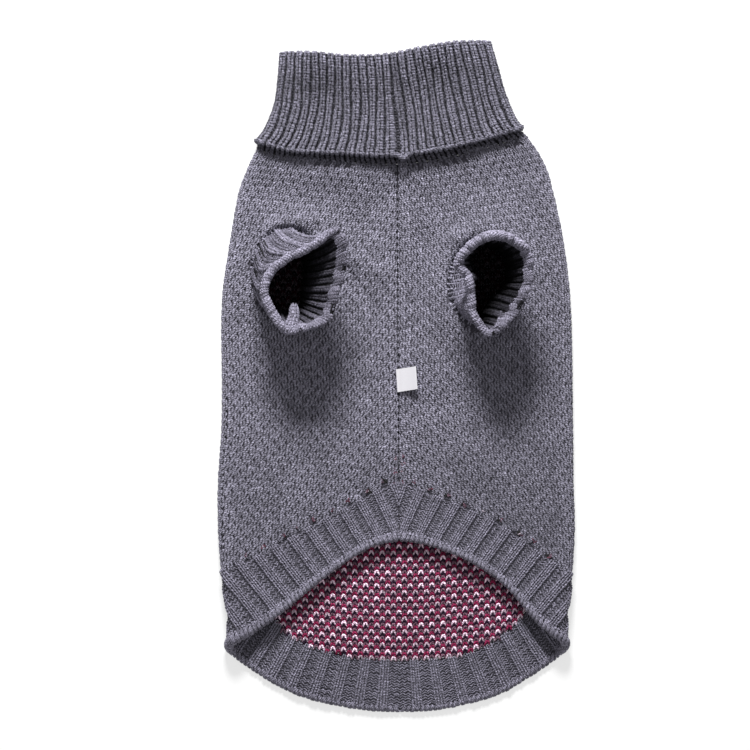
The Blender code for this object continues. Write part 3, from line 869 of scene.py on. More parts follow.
def body_stitches(side, low_turn, high_turn, fine=True):
    """Every ring stitch of the body's grey face between two turns, clear of the armhole and the hem."""
    wale, course = every(np.arange(-4, WALES_HALF_ROUND), BODY_COURSES)
    x, y, _ = apart(grey_face(side, (wale + 0.5) * WALE, course * COURSE, 0.0))
    turn = (wale + 0.5 + column_shift(side, course * COURSE) / WALE) / WALES_HALF_ROUND
    keep = (turn > low_turn) & (turn <= high_turn) & (y < collar_line(x, NECK_END))
    keep &= y > hem_line("seam", side * np.maximum(turn, 1e-6)) + HEM_CLEAR
    keep &= (ring_distance(x, y, ARMHOLE_SEAMS[SIDES[side]]) > HOLE_CLEAR) | (turn > 0.5)
    if fine:
        keep &= clear_of(SEAM_HOLES, x, y)
    wale, course = wale[keep], course[keep]
    n = len(wale)
    lean = 0.32 * np.where((wale + course) % 2 == 0, -1.0, 1.0) * chance.uniform(0.5, 1.3, n)
    path, radius = ring_stitches(wale, course, lean, uneven(n, 0.92, 1.08), fine)
    shake(path, 0.09, 0.12, 0.07)
    return grey_face(side, *apart(half_tube(path, radius, YARN_SIDES if fine else 3, 0.72)))


def shades(colour, n, spread=0.05):
    """A colour for each of n yarns, with small differences."""
    return np.array(colour) * chance.normal(1.0, spread, n)[:, None]


# %% Inner yarns that peek out
def on_belly(flat_cloth):
    """Lays yarns straight down onto the belly."""
    x, y, up = apart(flat_cloth)
    return together(x, y, belly_top(x, y) + up)


BITS_EACH = 7
SHADE_BITS = 4
PEEKING = np.array([(0.100, 0.030, 0.050), (0.120, 0.075, 0.105), (0.050, 0.045, 0.065), (0.34, 0.29, 0.34)])


def peeking_yarns(side):
    """Bits of the inner yarns that show in the small openings of the belly and in the belly seam; some bits
    at each place are near-black, painted shade down in the opening.
    """
    belly_holes = SEAM_HOLES[SEAM_HOLES[:, 1] < 40]
    places = belly_holes[np.sign(belly_holes[:, 0]) == side][:, :2]
    down = chance.uniform(-70, -45, 5)
    seam = together(belly_seam_x(down) + side * 0.9, down)
    middle = np.repeat(np.concatenate([places, seam]), BITS_EACH, 0)
    n = len(middle)
    # The first bits at each place are near-black: painted shade down in the opening.
    dark = (np.arange(n) % BITS_EACH < SHADE_BITS)[:, None]
    x, y = apart(middle + np.where(dark, 0.0, (side * 1.3, -0.4)) + chance.normal(0, 0.5, (n, 2)))
    slant = chance.uniform(0, np.pi, n)
    reach = np.array([-1.1, 0.0, 1.1])
    path = together(x[:, None] + np.cos(slant)[:, None] * reach, y[:, None] + np.sin(slant)[:, None] * reach,
                    -0.90 + np.where(dark, 0.0, 0.30))
    colours = PEEKING[chance.choice(4, n, p=[0.38, 0.36, 0.14, 0.12])]
    return on_belly(half_tube(path, 0.56, 4)), np.where(dark, 0.014, colours)


# For each side, the column that opens beside its fold, and the y where its slits start and end.
OPEN_COLUMN = {-1: (100.2, -22.0, -120.0), 1: (103.0, 24.0, -120.0)}


def side_slits(side):
    """Near-black yarn in the slits of one column beside each side fold, a bit of it on every row: the inner
    yarn, painted as dark as the shade in the slits.
    """
    column, high, low = OPEN_COLUMN[side]
    down = np.arange(high, low, -COURSE)
    n = len(down)
    down = down + chance.normal(0, 0.35, n)
    along = down[:, None] + uneven(n, 0.7, 1.35) * np.array([-1.0, 0.0, 1.0])
    across = column + chance.normal(0, 0.25, (n, 1)) - column_shift(side, along)
    path = together(across, along, [-0.75, -0.05, -0.75])
    bits = half_tube(path, chance.uniform(0.32, 0.55, along.shape), 4)
    # Near-black: the inner yarn painted as dark as the shade in the slit.
    return grey_face(side, *apart(bits)), shades((0.016, 0.015, 0.022), n, 0.2)


def armhole_stitches(name, count=52):
    """Short stitches over the seam that joins a cuff to its armhole, where the seam shows."""
    angle = np.pi + (np.arange(count) - 20) / count * 2 * np.pi + chance.normal(0, 0.02, count)
    angle = angle[np.cos(angle - 3.3) > 0.0]
    x, y = apart(on_ring(ARMHOLE_SEAMS[name], angle[:, None]))
    reach = np.array([-1.5, -0.5, 0.6, 1.7])
    path = together(x + np.cos(angle)[:, None] * reach, y + np.sin(angle)[:, None] * reach,
                    [0.3, 0.55, 0.35, -0.5])
    n = len(angle)
    return on_belly(half_tube(path, 0.50 * uneven(n, 0.8, 1.2), 4)), shades(GREY, n, 0.1)


# %% Grey stitches
UNDER_FOLD = 0.54
SIDE_LIGHT = {-1: 1.0, 1: 0.88}


def belly_light(place):
    """Less light reaches the belly near the hem, on its right side and close to the neck."""
    x, y, _ = apart(place.mean((1, 2)))
    dim = 0.965 - 0.09 * ease((-30 - y) / 30) - ease(x / 60) * (0.05 + 0.09 * ease((60 - y) / 60))
    return (dim - 0.04 * ease((y - 80) / 20))[:, None]


belly_stitches, side_batches = {}, []
for side, name in SIDES.items():
    place = body_stitches(side, -0.006, side_seam(side))
    batches = [(place, shades(GREY, len(place), 0.10) * belly_light(place)), peeking_yarns(side),
               side_slits(side), armhole_stitches(name)]
    belly_stitches[name] = yarn_object(f"belly_{name}_stitches", batches, yarn)
    for low, high, fine in ((side_seam(side), UNDER_FOLD, True), (UNDER_FOLD, 1.0, False)):
        place = body_stitches(side, low, high, fine)
        side_batches.append((place, shades(GREY, len(place)) * SIDE_LIGHT[side]))
side_stitches = yarn_object("back_side_stitches", side_batches, yarn)

# %% [markdown]
# ## The coloured inside
# The inside of the back shows below the arch.  It is knitted in four colours that follow one another up each
# column, and every other column is two rows on, so that the light stitches make a fine chequer.

# %% Coloured stitches
COLOUR_WALE = 3.30
COLOUR_COURSE = 1.97
UNDER_ARCH = 14.0
ROUND_HOLE = 3.0
YARNS = np.array([
    (0.84, 0.63, 0.77),
    (0.026, 0.012, 0.028),
    (0.160, 0.086, 0.122),
    (0.200, 0.018, 0.060)])
YARN_SIZE = np.array([1.06, 1.0, 0.96, 1.25])
YARN_LIFT = np.array([0.12, -0.10, -0.08, 0.08])


def inner_face(x, y, height):
    """The inside of the back, looked at from above."""
    return together(x, y, neck_lift(x, y) + (BODY_WALL + height) * inner_swell(x, y))


def legs(wale, course, width, pitch, slope, reach=(0.43, 0.33, 0.20, 0.07)):
    """Two slanting legs a stitch, apart at the bottom and nearer together at the top."""
    v = np.array([-0.62, -0.14, 0.36, 0.80]) * slope
    y = (course[:, None] + v) * pitch
    return np.concatenate([together((wale[:, None] + 0.5 + side * np.array(reach)) * width, y,
                                    [-0.62, -0.16, 0.0, -0.36]) for side in SIDES])


def both_legs(values):
    return np.concatenate([values, values])


def coloured_sag(x):
    """The coloured rows sag towards the middle."""
    return 0.0019 * x ** 2 / np.sqrt(1 + (x / 45) ** 2)


def coloured_places():
    """Wale and course of every coloured stitch, and whether it lies deep below an armhole."""
    wale, course = every(np.arange(-28, 28), np.arange(-92, 50))
    x = (wale + 0.5) * COLOUR_WALE
    y = course * COLOUR_COURSE + coloured_sag(x)
    low = hem_line("seam", side_of(x) * (1 - np.abs(x) / HALF_GIRTH))
    high = hem_line("edge", x / HALF_GIRTH)
    below_hole = np.any([ring_distance(x, y, hole) < ROUND_HOLE for hole in ARMHOLE_SEAMS.values()], 0)
    keep = (y > low - 0.4) & (y < high + UNDER_ARCH) | below_hole
    return wale[keep], course[keep], below_hole[keep]


def coloured_stitches():
    wale, course, below_hole = coloured_places()
    n = len(wale)
    which = both_legs(((-course + 2 * (wale % 2)) % 4).astype(int))
    paths = legs(wale, course, COLOUR_WALE, COLOUR_COURSE, 1.15)
    paths[..., :2] += both_legs(chance.normal(0, 0.08, (n, 2)))[:, None, :]
    paths[..., 2] += (YARN_LIFT[which] + chance.normal(0, 0.05, 2 * n))[:, None]
    radius = YARN_SIZE[which][:, None] * uneven(2 * n, 0.92, 1.08) * np.array([0.40, 0.54, 0.62, 0.56])
    across, along, height = apart(half_tube(paths, radius))
    light = chance.normal(1.0, 0.10, 2 * n)
    light = light * np.where((which == 0) & (both_legs(wale) % 2 == 1), 0.66, 1.0)
    # Coloured stitches seen deep down through an armhole are painted nearly black, as shade.
    armhole_shade = np.where(across.mean((1, 2)) < 0, 0.10, 0.04)
    light = light * np.where(both_legs(below_hole), armhole_shade, 1.0)
    return inner_face(across, along + coloured_sag(across), height), YARNS[which] * light[:, None]


inside_stitches = yarn_object("back_inside_stitches", [coloured_stitches()], inside_yarn)

# %% [markdown]
# ## Hem rib
# Two knit columns stand up, two purl columns lie low, and so on all round.  The ribs lean towards the belly
# seam as they follow the arch, and end in a rolled cast-off edge.

# %% Places on the hem, and its walls
HEM_RIB = 11.8
HEM_LONG = 31.0
HEM_RISE = 1.0
HEM_ROUND = HEM_RIB * HEM_RIBS_A_SIDE
HEM_LEAN = 21.0
HEM_SUNK = 0.55


def rib_lean(across):
    """How far a rib has moved towards the belly seam where it reaches the edge; some run into the seam."""
    share = np.clip(across / HEM_ROUND, 0, 1)
    bow = np.sin(np.pi * share)
    return HEM_LEAN * np.where(share < 0.5, 0.5 + 0.5 * bow ** 0.6, bow)


def rib_at(across, along):
    """Which rib, in millimetres, passes a place on the band."""
    rib = across
    for _ in range(4):
        rib = across + along / HEM_LONG * rib_lean(rib)
    return rib


def hem_face(side, across, along, height, inner=False):
    """Places on the hem: across from the belly seam and along from the seam to the edge, in millimetres."""
    share, band = np.broadcast_arrays(np.asarray(across) / HEM_ROUND, np.asarray(along) / HEM_LONG)
    seam_turn, edge_turn = (side * np.maximum(turn_at(kind, side, share), 1e-6) for kind in ("seam", "edge"))
    y = blend(hem_line("seam", seam_turn) - HEM_SEAM_GAP / 2, hem_line("edge", edge_turn), band)
    return body_place(blend(seam_turn, edge_turn, band), y, RIB_WALL + height if inner else -height)


def rib_rise(phase):
    """Height of a wide rib's cloth across one repeat: a raised half, and a low field."""
    phase = (phase + 0.04) % 1.0
    return HEM_RISE * (ease(phase / 0.10) - ease((phase - 0.48) / 0.10))


def hem_wall(name, parts, inner_ribs):
    """A hem wall; parts are (side, first rib, last rib), in the order in which they join."""
    outside, inside = [], []
    along = np.array([0.0, 0.6, 2.0, 5.0, 9.0, 13.5, 18.0, 22.5, 26.5, 29.0, 30.3, 31.0])
    for side, first, last in parts:
        ribs = np.linspace(first, last, round(abs(last - first) * 10) + 1)
        across, down = np.meshgrid(ribs * HEM_RIB, along)
        rise = rib_rise(rib_at(across, down) / HEM_RIB) * ease(down / 2) * ease((HEM_LONG - down) / 2)
        shared = slice(1 if outside else 0, None)
        inner_rise = rise - HEM_SUNK if inner_ribs else 0.0
        outside.append(hem_face(side, across, down, rise - HEM_SUNK)[:, shared])
        inside.append(hem_face(side, across, down, inner_rise, True)[:, shared])
    return cloth_wall(name, np.concatenate(outside, 1), np.concatenate(inside, 1), hem_backing)


HALF_GAP = SEAM_GAP / 2 / HEM_RIB
hem_belly = {name: hem_wall(f"hem_belly_{name}_cloth", [(side, HALF_GAP, HEM_SEAM_RIB - HALF_GAP)], False)
             for side, name in SIDES.items()}
hem_back = hem_wall("hem_back_cloth", [(1, HEM_SEAM_RIB + HALF_GAP, HEM_RIBS_A_SIDE),
                                       (-1, HEM_RIBS_A_SIDE, HEM_SEAM_RIB + HALF_GAP)], True)

# %% Yarns of the wide rib
RIB_GREY = (0.170, 0.161, 0.208)
HEM_WALE = 2.95
HEM_COURSE = 1.62
HEM_KNIT = (0.125, 0.375)
HEM_PURL = (0.5, 0.75)
HEM_LEGS = (0.36, 0.30, 0.23, 0.15)
HEM_COURSES = 19
BEAD_PITCH = 1.97
FINE_RIBS = 12.6


def rib_courses(first, last, wales):
    """Rib and course numbers, and the middle of each column, of every stitch of a rib."""
    ribs = np.arange(math.floor(first), math.ceil(last) + 2)
    rib, course, wale = every(ribs, np.arange(HEM_COURSES), wales)
    return rib + wale, course


def purl_waves(rib, course):
    """A purl stitch is a short wave that lies across its column."""
    wave = np.linspace(0.0, 1.0, 5)
    x = rib[:, None] * HEM_RIB + wave * HEM_WALE
    y = (course[:, None] + 0.9) * HEM_COURSE + 0.52 * np.cos(wave * 2 * np.pi)
    return together(x, y, -0.46 + 0.24 * np.cos(wave * 2 * np.pi + 0.8) + rib_rise(x / HEM_RIB))


def hem_yarns(side, first, last, inner, sides=4):
    """Knit legs on the raised columns and purl waves in the low fields, slanted as the ribs are; the knit is
    painted a little lighter and the purl a little darker, as light and shade.
    """
    rib, course = rib_courses(first, last, HEM_KNIT)
    knit = legs(rib * HEM_RIB / HEM_WALE - 0.5, -course, HEM_WALE, HEM_COURSE, 1.0, HEM_LEGS)
    knit[..., 1] = 1.0 - knit[..., 1]
    knit[..., 2] += rib_rise(knit[..., 0] / HEM_RIB) - 0.35
    purl = purl_waves(*rib_courses(first, last, HEM_PURL))
    purl[..., 1] += chance.normal(0, 0.20, len(purl))[:, None]
    made = []
    # Tones: the raised knit painted lighter and the low purl painted darker, as light and shade.
    for paths, thick, tone in ((knit, np.array([0.38, 0.52, 0.54, 0.40]), 1.10), (purl, 0.42, 0.88)):
        x, y, _ = apart(paths[:, 2])
        level = x - y / HEM_LONG * rib_lean(x)
        paths = paths[(level > first * HEM_RIB) & (level < last * HEM_RIB)]
        paths[..., :2] += chance.normal(0, 0.07, (len(paths), 1, 2))
        across, along, height = apart(half_tube(paths, thick * uneven(len(paths), 0.88, 1.12), sides))
        place = hem_face(side, across - along / HEM_LONG * rib_lean(across), along, height, inner)
        made.append((place, shades(RIB_GREY, len(place), 0.08) * tone))
    return made


# %% Cast-off edges
def evenly(length, pitch):
    """The middles of equal steps along a length."""
    return ((np.arange(round(length / pitch)) + 0.5) * pitch)[:, None]


def rim_loops(length, pitch, reach, thick, slant):
    """Cast-off loops that wrap a rim: millimetres along it, radians round it, reach out of its middle."""
    at = evenly(length, pitch)
    turn = np.linspace(-2.0, 2.0, 8)
    path = together(at + slant * turn + chance.normal(0, 0.1, at.shape), turn * reach, 0.0)
    along, round_it, out = apart(half_tube(path, thick * uneven(len(at), 0.85, 1.2), 4))
    return along, round_it / reach, out + reach


def hem_edge(side, first, last):
    """Loops over the hem's edge, and a row of small beads of yarn above them."""
    start, length = first * HEM_RIB, (last - first) * HEM_RIB
    along, turn, reach = rim_loops(length, HEM_WALE, 1.7, 1.35, 1.0)
    lump = 0.35 * np.sin(along * 0.55) * np.sin(along * 0.21 + 1.0)
    loops = hem_face(side, along + start, HEM_LONG - 1.5 + reach * np.cos(turn),
                     reach * np.sin(turn) - RIB_WALL / 2 + 0.45 + lump)
    at = start + evenly(length, BEAD_PITCH)
    across = at + np.array([0.8, 0.0, -0.8]) + chance.normal(0, 0.15, at.shape)
    bead = together(across, HEM_LONG - 3.3 + np.array([-0.9, 0.0, 0.9]), [0.0, 0.45, 0.2])
    beads = hem_face(side, *apart(half_tube(bead, 0.72, 4)))
    return [(place, shades(RIB_GREY, len(place), 0.10) * 1.06) for place in (loops, beads)]


hem_belly_stitches = {}
for side, name in SIDES.items():
    batches = hem_yarns(side, 0, HEM_SEAM_RIB, False) + hem_edge(side, 0, HEM_SEAM_RIB)
    hem_belly_stitches[name] = yarn_object(f"hem_belly_{name}_stitches", batches, yarn)
batches = []
for side in (1, -1):
    batches += hem_yarns(side, HEM_SEAM_RIB, FINE_RIBS, False)
    batches += hem_yarns(side, FINE_RIBS, HEM_RIBS_A_SIDE, False, 3)
    batches += hem_yarns(side, HEM_SEAM_RIB, HEM_RIBS_A_SIDE, True)
    batches += hem_edge(side, HEM_SEAM_RIB, HEM_RIBS_A_SIDE)
hem_back_stitches = yarn_object("hem_back_stitches", batches, yarn)

# %% [markdown]
# ## Collar
# One tube of 1x1 rib stands up from the neck, folds outwards at the top and lies back on itself.  Every rib
# is one column of knit; the purl column beside it sinks in and makes the groove, whose yarn and cloth are
# painted dark as its shade.

# %% Places on the collar
COLLAR_RIB = 5.2
COLLAR_COURSES = 35
COLLAR_RISE = 1.5
COLLAR_SINK = 1.25
CROWN = RIB_WALL + LAYER_GAP / 2
COLLAR_ROUND = COLLAR_RIB * COLLAR_RIBS
ROLL = 6.0
FALL_LIFT = 3.6


def collar_seam_x(below):
    """The seam that closes the tube wanders as it comes down."""
    return blend(-2.2, 3.6, ease((below - 0.1) / 0.45)) + 0.9 * np.sin(9.0 * below)


def collar_roll(x, below):
    """The fold stands up in a roll, high on both sides of the middle; the seam sinks between raised ribs."""
    strength = 0.35 + 0.65 * (hill((x + 54) / 17) + hill((x - 26) / 24))
    away = x - collar_seam_x(below)
    dip = 0.9 + 1.5 * hill((below - 0.35) / 0.2)
    puckered = dip * hill(away / 2.1) - 0.9 * hill((np.abs(away) - 5.5) / 2.8)
    return ROLL * strength * hill(below / 0.24) - puckered


def collar_shade(x, below):
    """Painted shade below the rolls and down in the seam, where less light reaches the yarn, and painted
    light at the top of the fold and low on the fall, which face the light.
    """
    rolls = hill((x + 50) / 24) + 0.6 * hill((x - 26) / 22)
    dim = 0.36 * rolls * hill((below - 0.34) / 0.12) - 0.32 * hill(below / 0.22)
    dim = dim - 0.07 * ease((below - 0.5) / 0.3)
    seam = 0.28 * hill((x - collar_seam_x(below)) / 1.9) * ease((0.95 - below) / 0.3)
    return (1 - dim) * (1 - seam)


def collar_place(turn, below, depth, up=0.0, flare=0.0):
    """depth in from the turned-down face, up past the row in the cloth's plane."""
    turn, below, depth, up, flare = np.broadcast_arrays(turn, below, depth, up, flare)
    left, right = collar_sides(below)
    flat = (right - left) / 2 - COLLAR_REACH
    bend = bend_length(COLLAR_REACH, COLLAR_HALF_HEIGHT)
    over, under, out, run, angle = round_tube(turn, flat, bend, COLLAR_REACH - depth)
    x = (left + right) / 2 + side_of(turn) * out
    reach = COLLAR_HALF_HEIGHT - depth
    bent = COLLAR_HALF_HEIGHT + np.maximum((reach + flare) * np.sin(angle), reach * np.sin(angle))
    swell = 0.8 * unevenness(x * 1.5 + 30, collar_line(x, below) * 1.2) * ease((flat - run) / 12)
    swell = swell + collar_roll(x, below) * ease((flat - run) / 20)
    z = np.where(over, 2 * COLLAR_HALF_HEIGHT - depth + flare + swell, np.where(under, depth, bent))
    return together(x, collar_line(x, below) + up, z)


def collar_turn(across):
    """Turn round the tube of a place given in millimetres of rib from the back's middle."""
    return 2 * across / COLLAR_ROUND - 1


def wavy(across, below):
    """The ribs of the turned-down face aren't quite straight, and fan out on the right of the seam."""
    wave = np.sin(across * 0.19 + 4.0 * below) + 0.7 * np.sin(across * 0.47 - 7.0 * below + 1.0)
    right = np.maximum(across - COLLAR_ROUND / 2, 0.0)
    fan = 3.6 * ease(below) * np.exp(-right / 34) * ease(right / 4)
    return across + fan + 0.52 * wave * np.sin(np.pi * np.clip(below, 0, 1))


def lowered(across, height):
    """The far side of the tube lies on the surface, so its ribs are pressed flat."""
    return height - 1.1 * (1 - ease((0.53 - np.abs(collar_turn(across))) / 0.05))


def collar_fall(across, below, height):
    """The turned-down face."""
    flare = FALL_LIFT * np.clip(below, 0, 1) ** 3
    return collar_place(collar_turn(wavy(across, below)), below, -lowered(across, height), 0.0, flare)


def collar_crown(across, degrees, height):
    """The fold at the top: 0 degrees where the fall begins, 180 where the stand does."""
    angle = np.radians(degrees)
    reach = CROWN + lowered(across, height)
    return collar_place(collar_turn(across), 0.0, CROWN - reach * np.cos(angle),
                        reach * np.sin(angle) - CROWN)


def collar_stand(across, below, height):
    """The inner layer's face that shows below the fall."""
    return collar_place(collar_turn(across), below, COLLAR_LAYER - lowered(across, height))


def narrow_rise(across, pitch, rise):
    """Rounded ribs with narrow grooves."""
    return rise * (1 - np.abs(2 * ((across / pitch + 0.5) % 1.0) - 1) ** 2.4)


# %% Collar wall
def collar_rows():
    """Rows of both faces: up the fall from its edge, over the crown and down the stand."""
    across = np.arange(COLLAR_RIBS * 6) / 6 * COLLAR_RIB
    turn = collar_turn(across)
    rib = narrow_rise(across, COLLAR_RIB, COLLAR_RISE) - COLLAR_SINK
    over, under = [], []
    for below in (1.0, 0.985, 0.95, 0.85, 0.72, 0.6, 0.5, 0.4, 0.32, 0.25, 0.19, 0.14, 0.09, 0.04):
        over.append(collar_fall(across, below, rib * ease((1 - below) / 0.02 + 0.3)))
        waved = collar_turn(wavy(across, below))
        under.append(collar_place(waved, below, RIB_WALL, 0.0, FALL_LIFT * below ** 3))
    for degrees in (25.0, 50.0, 75.0, 100.0, 128.0, 155.0):
        angle = math.radians(degrees)
        over.append(collar_crown(across, degrees, rib * ease((130 - degrees) / 40)))
        under.append(collar_place(turn, 0.0, CROWN - LAYER_GAP / 2 * math.cos(angle),
                                  LAYER_GAP / 2 * math.sin(angle) - CROWN))
    for below in (0.04, 0.12, 0.2, 0.35, 0.7, 0.96, 0.985, 1.0, 1.03, 1.06, COLLAR_NECK):
        up = SEAM_GAP / 2 if below == COLLAR_NECK else 0.0
        over.append(collar_place(turn, below, 2 * CROWN, up))
        height = lowered(across, rib) if below > 0.95 else 0.0
        under.append(collar_place(turn, below, COLLAR_LAYER - height, up))
    return np.array(over), np.array(under)


collar = cloth_wall("collar_cloth", *collar_rows(), rib_backing, True)

# %% Yarns of the narrow rib
COLLAR_COURSE = 1.7
COLLAR_GREY = (0.122, 0.117, 0.151)
NARROW_WALE = 3.3
NARROW_LEGS = (0.50, 0.42, 0.30, 0.17)


def narrow_rib(ribs, courses, pitch, rise, deep=1.15, close=1.0):
    """Two columns of knit legs on each rib, and a purl bump deep in the groove beside it."""
    rib, course = every(ribs, courses)
    reach = np.array(NARROW_LEGS) * close
    knit = legs(rib * pitch / NARROW_WALE - 0.5, course, NARROW_WALE, COLLAR_COURSE, 1.05, reach)
    knit[..., 2] += narrow_rise(knit[..., 0], pitch, rise) - 0.75 + np.array([-0.16, 0.0, 0.08, -0.12])
    shake(knit, 0.12, 0.16, 0.06)
    thick = np.array([0.58, 0.76, 0.78, 0.58]) / close ** 0.5 * uneven(len(knit), 0.88, 1.12)
    bump = together((rib[:, None] + 0.5) * pitch + np.array([-0.9, 0.0, 0.9]),
                    (course[:, None] + 0.3) * COLLAR_COURSE + np.array([-0.3, 0.2, -0.3]),
                    np.array([-0.2, 0.1, -0.2]) - deep)
    bump[..., 1:] += chance.normal(0, 0.1, (len(bump), 1, 2))
    return half_tube(knit, thick, 4, 0.75), half_tube(bump, 0.44, 3)


# %% Collar yarns
ALL_RIBS = np.arange(COLLAR_RIBS)
STAND_RIBS = np.arange(13, 44)
CROWN_STEP = 36.0
# For the fall, the crown and the stand: how the yarn is laid, its ribs, its rows and the form of a rib.
COLLAR_PARTS = (
    (lambda x, row, up: collar_fall(x, 1.0 - row / COLLAR_COURSES, up),
     ALL_RIBS, np.arange(COLLAR_COURSES), (COLLAR_RISE, 0.9, 0.94)),
    (lambda x, row, up: collar_crown(x, row * CROWN_STEP, up),
     ALL_RIBS, np.arange(4), (0.55 * COLLAR_RISE,)),
    (lambda x, row, up: collar_stand(x, 1.02 - row / COLLAR_COURSES, up),
     STAND_RIBS, np.arange(-3, 3), (COLLAR_RISE,)))
# Painted light and shade of their yarns, knit and purl of each: the purl deep in the grooves is painted
# dark, the crown's knit lighter where it faces the light, and the stand darker in the shadow of the fall.
COLLAR_PAINTED_LIGHT = (1.02, 0.24, 1.24, 0.30, 0.85, 0.12)


def collar_ribs():
    made = []
    for lay, ribs, rows, form in COLLAR_PARTS:
        for across, along, height in map(apart, narrow_rib(ribs, rows, COLLAR_RIB, *form)):
            made.append(lay(across, along / COLLAR_COURSE, height))
    return made


def collar_light(place):
    """Shade of the yarns that lie on the collar's upper side."""
    x, y, z = apart(place.mean((1, 2)))
    top = collar_line(x, 0.0)
    below = (top - y) / (top - collar_line(x, 1.0))
    return np.where(z > COLLAR_HALF_HEIGHT, collar_shade(x, below), 1.0)


# %% Rim and seam of the collar
def collar_rim():
    along, turn, reach = rim_loops(COLLAR_ROUND, COLLAR_RIB / 2, 1.25, 1.0, 0.35)
    place = collar_place(collar_turn(along), 1.0, RIB_WALL / 2 - reach * np.sin(turn),
                         0.5 - reach * np.cos(turn), FALL_LIFT)
    return place, shades(COLLAR_GREY, len(place), 0.10) * 1.15


def seam_knot():
    """The thick end of the collar's seam, where the edge is bound off."""
    across = collar_seam_x(1.0) + np.array([[-2.3], [-0.9], [0.5], [2.0], [3.4]]) + np.linspace(-0.9, 0.9, 5)
    sunk = np.array([[1.6], [2.6], [2.9], [2.2], [1.0]])
    y = collar_line(across, 1.0) + np.linspace(2.2, -1.0, 5) - sunk
    height = 1.7 * np.sin(np.linspace(0.3, 3.0, 5)) + (2 * COLLAR_HALF_HEIGHT + FALL_LIFT - 0.9)
    ends = half_tube(together(across, y, height), 1.15)
    return ends, shades(COLLAR_GREY, len(ends), 0.1) * 1.1


def collar_batches():
    made = collar_ribs()
    light = [np.full(len(place), tone) for place, tone in zip(made, COLLAR_PAINTED_LIGHT)]
    light[1] *= chance.uniform(0.4, 2.2, len(light[1]))
    for k in (0, 1):
        light[k] *= collar_light(made[k])
    tints = [shades(COLLAR_GREY, len(place), 0.12) * tone[:, None] for place, tone in zip(made, light)]
    return [*zip(made, tints), collar_rim(), seam_knot()]


collar_stitches = yarn_object("collar_stitches", collar_batches(), yarn)

# %% [markdown]
# ## Sleeves
# Short cuffs of the same 1x1 rib, sewn into the armholes.  Each has three rings: the seam, a ring that
# pulls the tube in and bends it over, and the cuff.  Where the middle ring lies far in and low, one looks
# down onto the ribs of the inside; where it lies far out and high, the outer face shows.

# %% Places on a sleeve
RING = 360
SLEEVE_DRAW = {
    "left": table("x y height", (
        (-80.5, 53.0, 25.0),
        (-77.0, 38.0, 20.0),
        (-65.0, 34.0, 16.0),
        (-63.0, 44.0, 5.0),
        (-66.0, 52.0, 4.0),
        (-62.0, 62.0, 6.0),
        (-55.0, 80.0, 28.0),
        (-73.0, 75.0, 31.0))),
    "right": table("x y height", (
        (50.0, 58.5, 12.0),
        (36.5, 42.0, 30.0),
        (49.0, 29.0, 22.0),
        (46.0, 48.0, 6.0),
        (59.5, 55.0, 8.0),
        (63.0, 71.0, 10.0),
        (54.0, 80.5, 22.0),
        (45.0, 73.0, 18.0)))}


def smooth_ring(rows, steps):
    """A smooth closed curve through the rows of a table, with the same number of steps between any two."""
    points = together(*rows.values())
    a, b, c, d = (np.roll(points, 1 - k, 0)[:, None, :] for k in range(4))
    t = (np.arange(steps) / steps)[:, None]
    square, cube = 2 * a - 5 * b + 4 * c - d, 3 * b - a - 3 * c + d
    return (0.5 * (2 * b + (c - a) * t + square * t ** 2 + cube * t ** 3)).reshape(-1, 3)


def closed_curve(rows, count):
    """Points at equal distances along that curve."""
    fine = smooth_ring(rows, 12)
    fine = np.concatenate([fine, fine[:1]])
    lengths = np.concatenate([[0.0], np.cumsum(np.linalg.norm(np.diff(fine, axis=0), axis=1))])
    wanted = lengths[-1] * np.arange(count) / count
    return together(*(np.interp(wanted, lengths, values) for values in apart(fine)))


def seam_ring(hole, count, inset, lift):
    """A ring of points inside an armhole's seam, lifted from the belly's face."""
    x, y = apart(on_ring(hole, np.pi + 2 * np.pi * np.arange(count) / count, inset))
    return together(x, y, belly_top(x, y) + lift)


SLEEVE = {}
for name, hole in ARMHOLE_SEAMS.items():
    base, cuff = (ring[:, :2] for ring in (seam_ring(hole, SLEEVE_RIBS, 0.0, 0.0),
                                           closed_curve(CUFFS[name], SLEEVE_RIBS)))
    strain = [((base - np.roll(cuff, -k, 0)) ** 2).sum() for k in range(SLEEVE_RIBS)]
    shift = int(np.argmin(strain))
    high = np.roll(closed_curve(CUFFS[name], RING), -shift * RING // SLEEVE_RIBS, 0)
    drawn = smooth_ring(SLEEVE_DRAW[name], RING // 8)
    SLEEVE[name] = (seam_ring(hole, RING, SEAM_GAP, 0.2), drawn, high)


def round_the_ring(values, share):
    """Values of a closed ring at shares of a turn."""
    at = (share % 1.0) * RING
    low = np.floor(at).astype(int) % RING
    return blend(values[low], values[(low + 1) % RING], (at - np.floor(at))[..., None])


def sleeve_face(name, share, up, out):
    """A place on a sleeve: a share of the way round, up from armhole to edge, out from the outer face."""
    share, up, out = np.broadcast_arrays(share, up, out)
    t = up[..., None]
    foot, drawn, high = (round_the_ring(ring, share) for ring in SLEEVE[name])
    slopes = (round_the_ring(np.roll(ring, -3, 0) - np.roll(ring, 3, 0), share) for ring in SLEEVE[name])
    weights = (1 - t) ** 2, 2 * t * (1 - t), t ** 2
    middle = weights[0] * foot + weights[1] * drawn + weights[2] * high
    along = sum(weight * slope for weight, slope in zip(weights, slopes))
    normal = unit(np.cross(along, (1 - t) * (drawn - foot) + t * (high - drawn)))
    return middle + normal * out[..., None]


# %% Sleeve walls
SLEEVE_RIB = 5.0
SLEEVE_ROUND = SLEEVE_RIB * SLEEVE_RIBS
SLEEVE_RISE = {"left": 0.7, "right": 0.3}
INNER_RISE = 1.1
OUTER_FOLD = {"left": 1.1, "right": 0.1}
OUTER_CURL = {"left": 0.02, "right": 0.0}
INNER_FOLD = 0.9


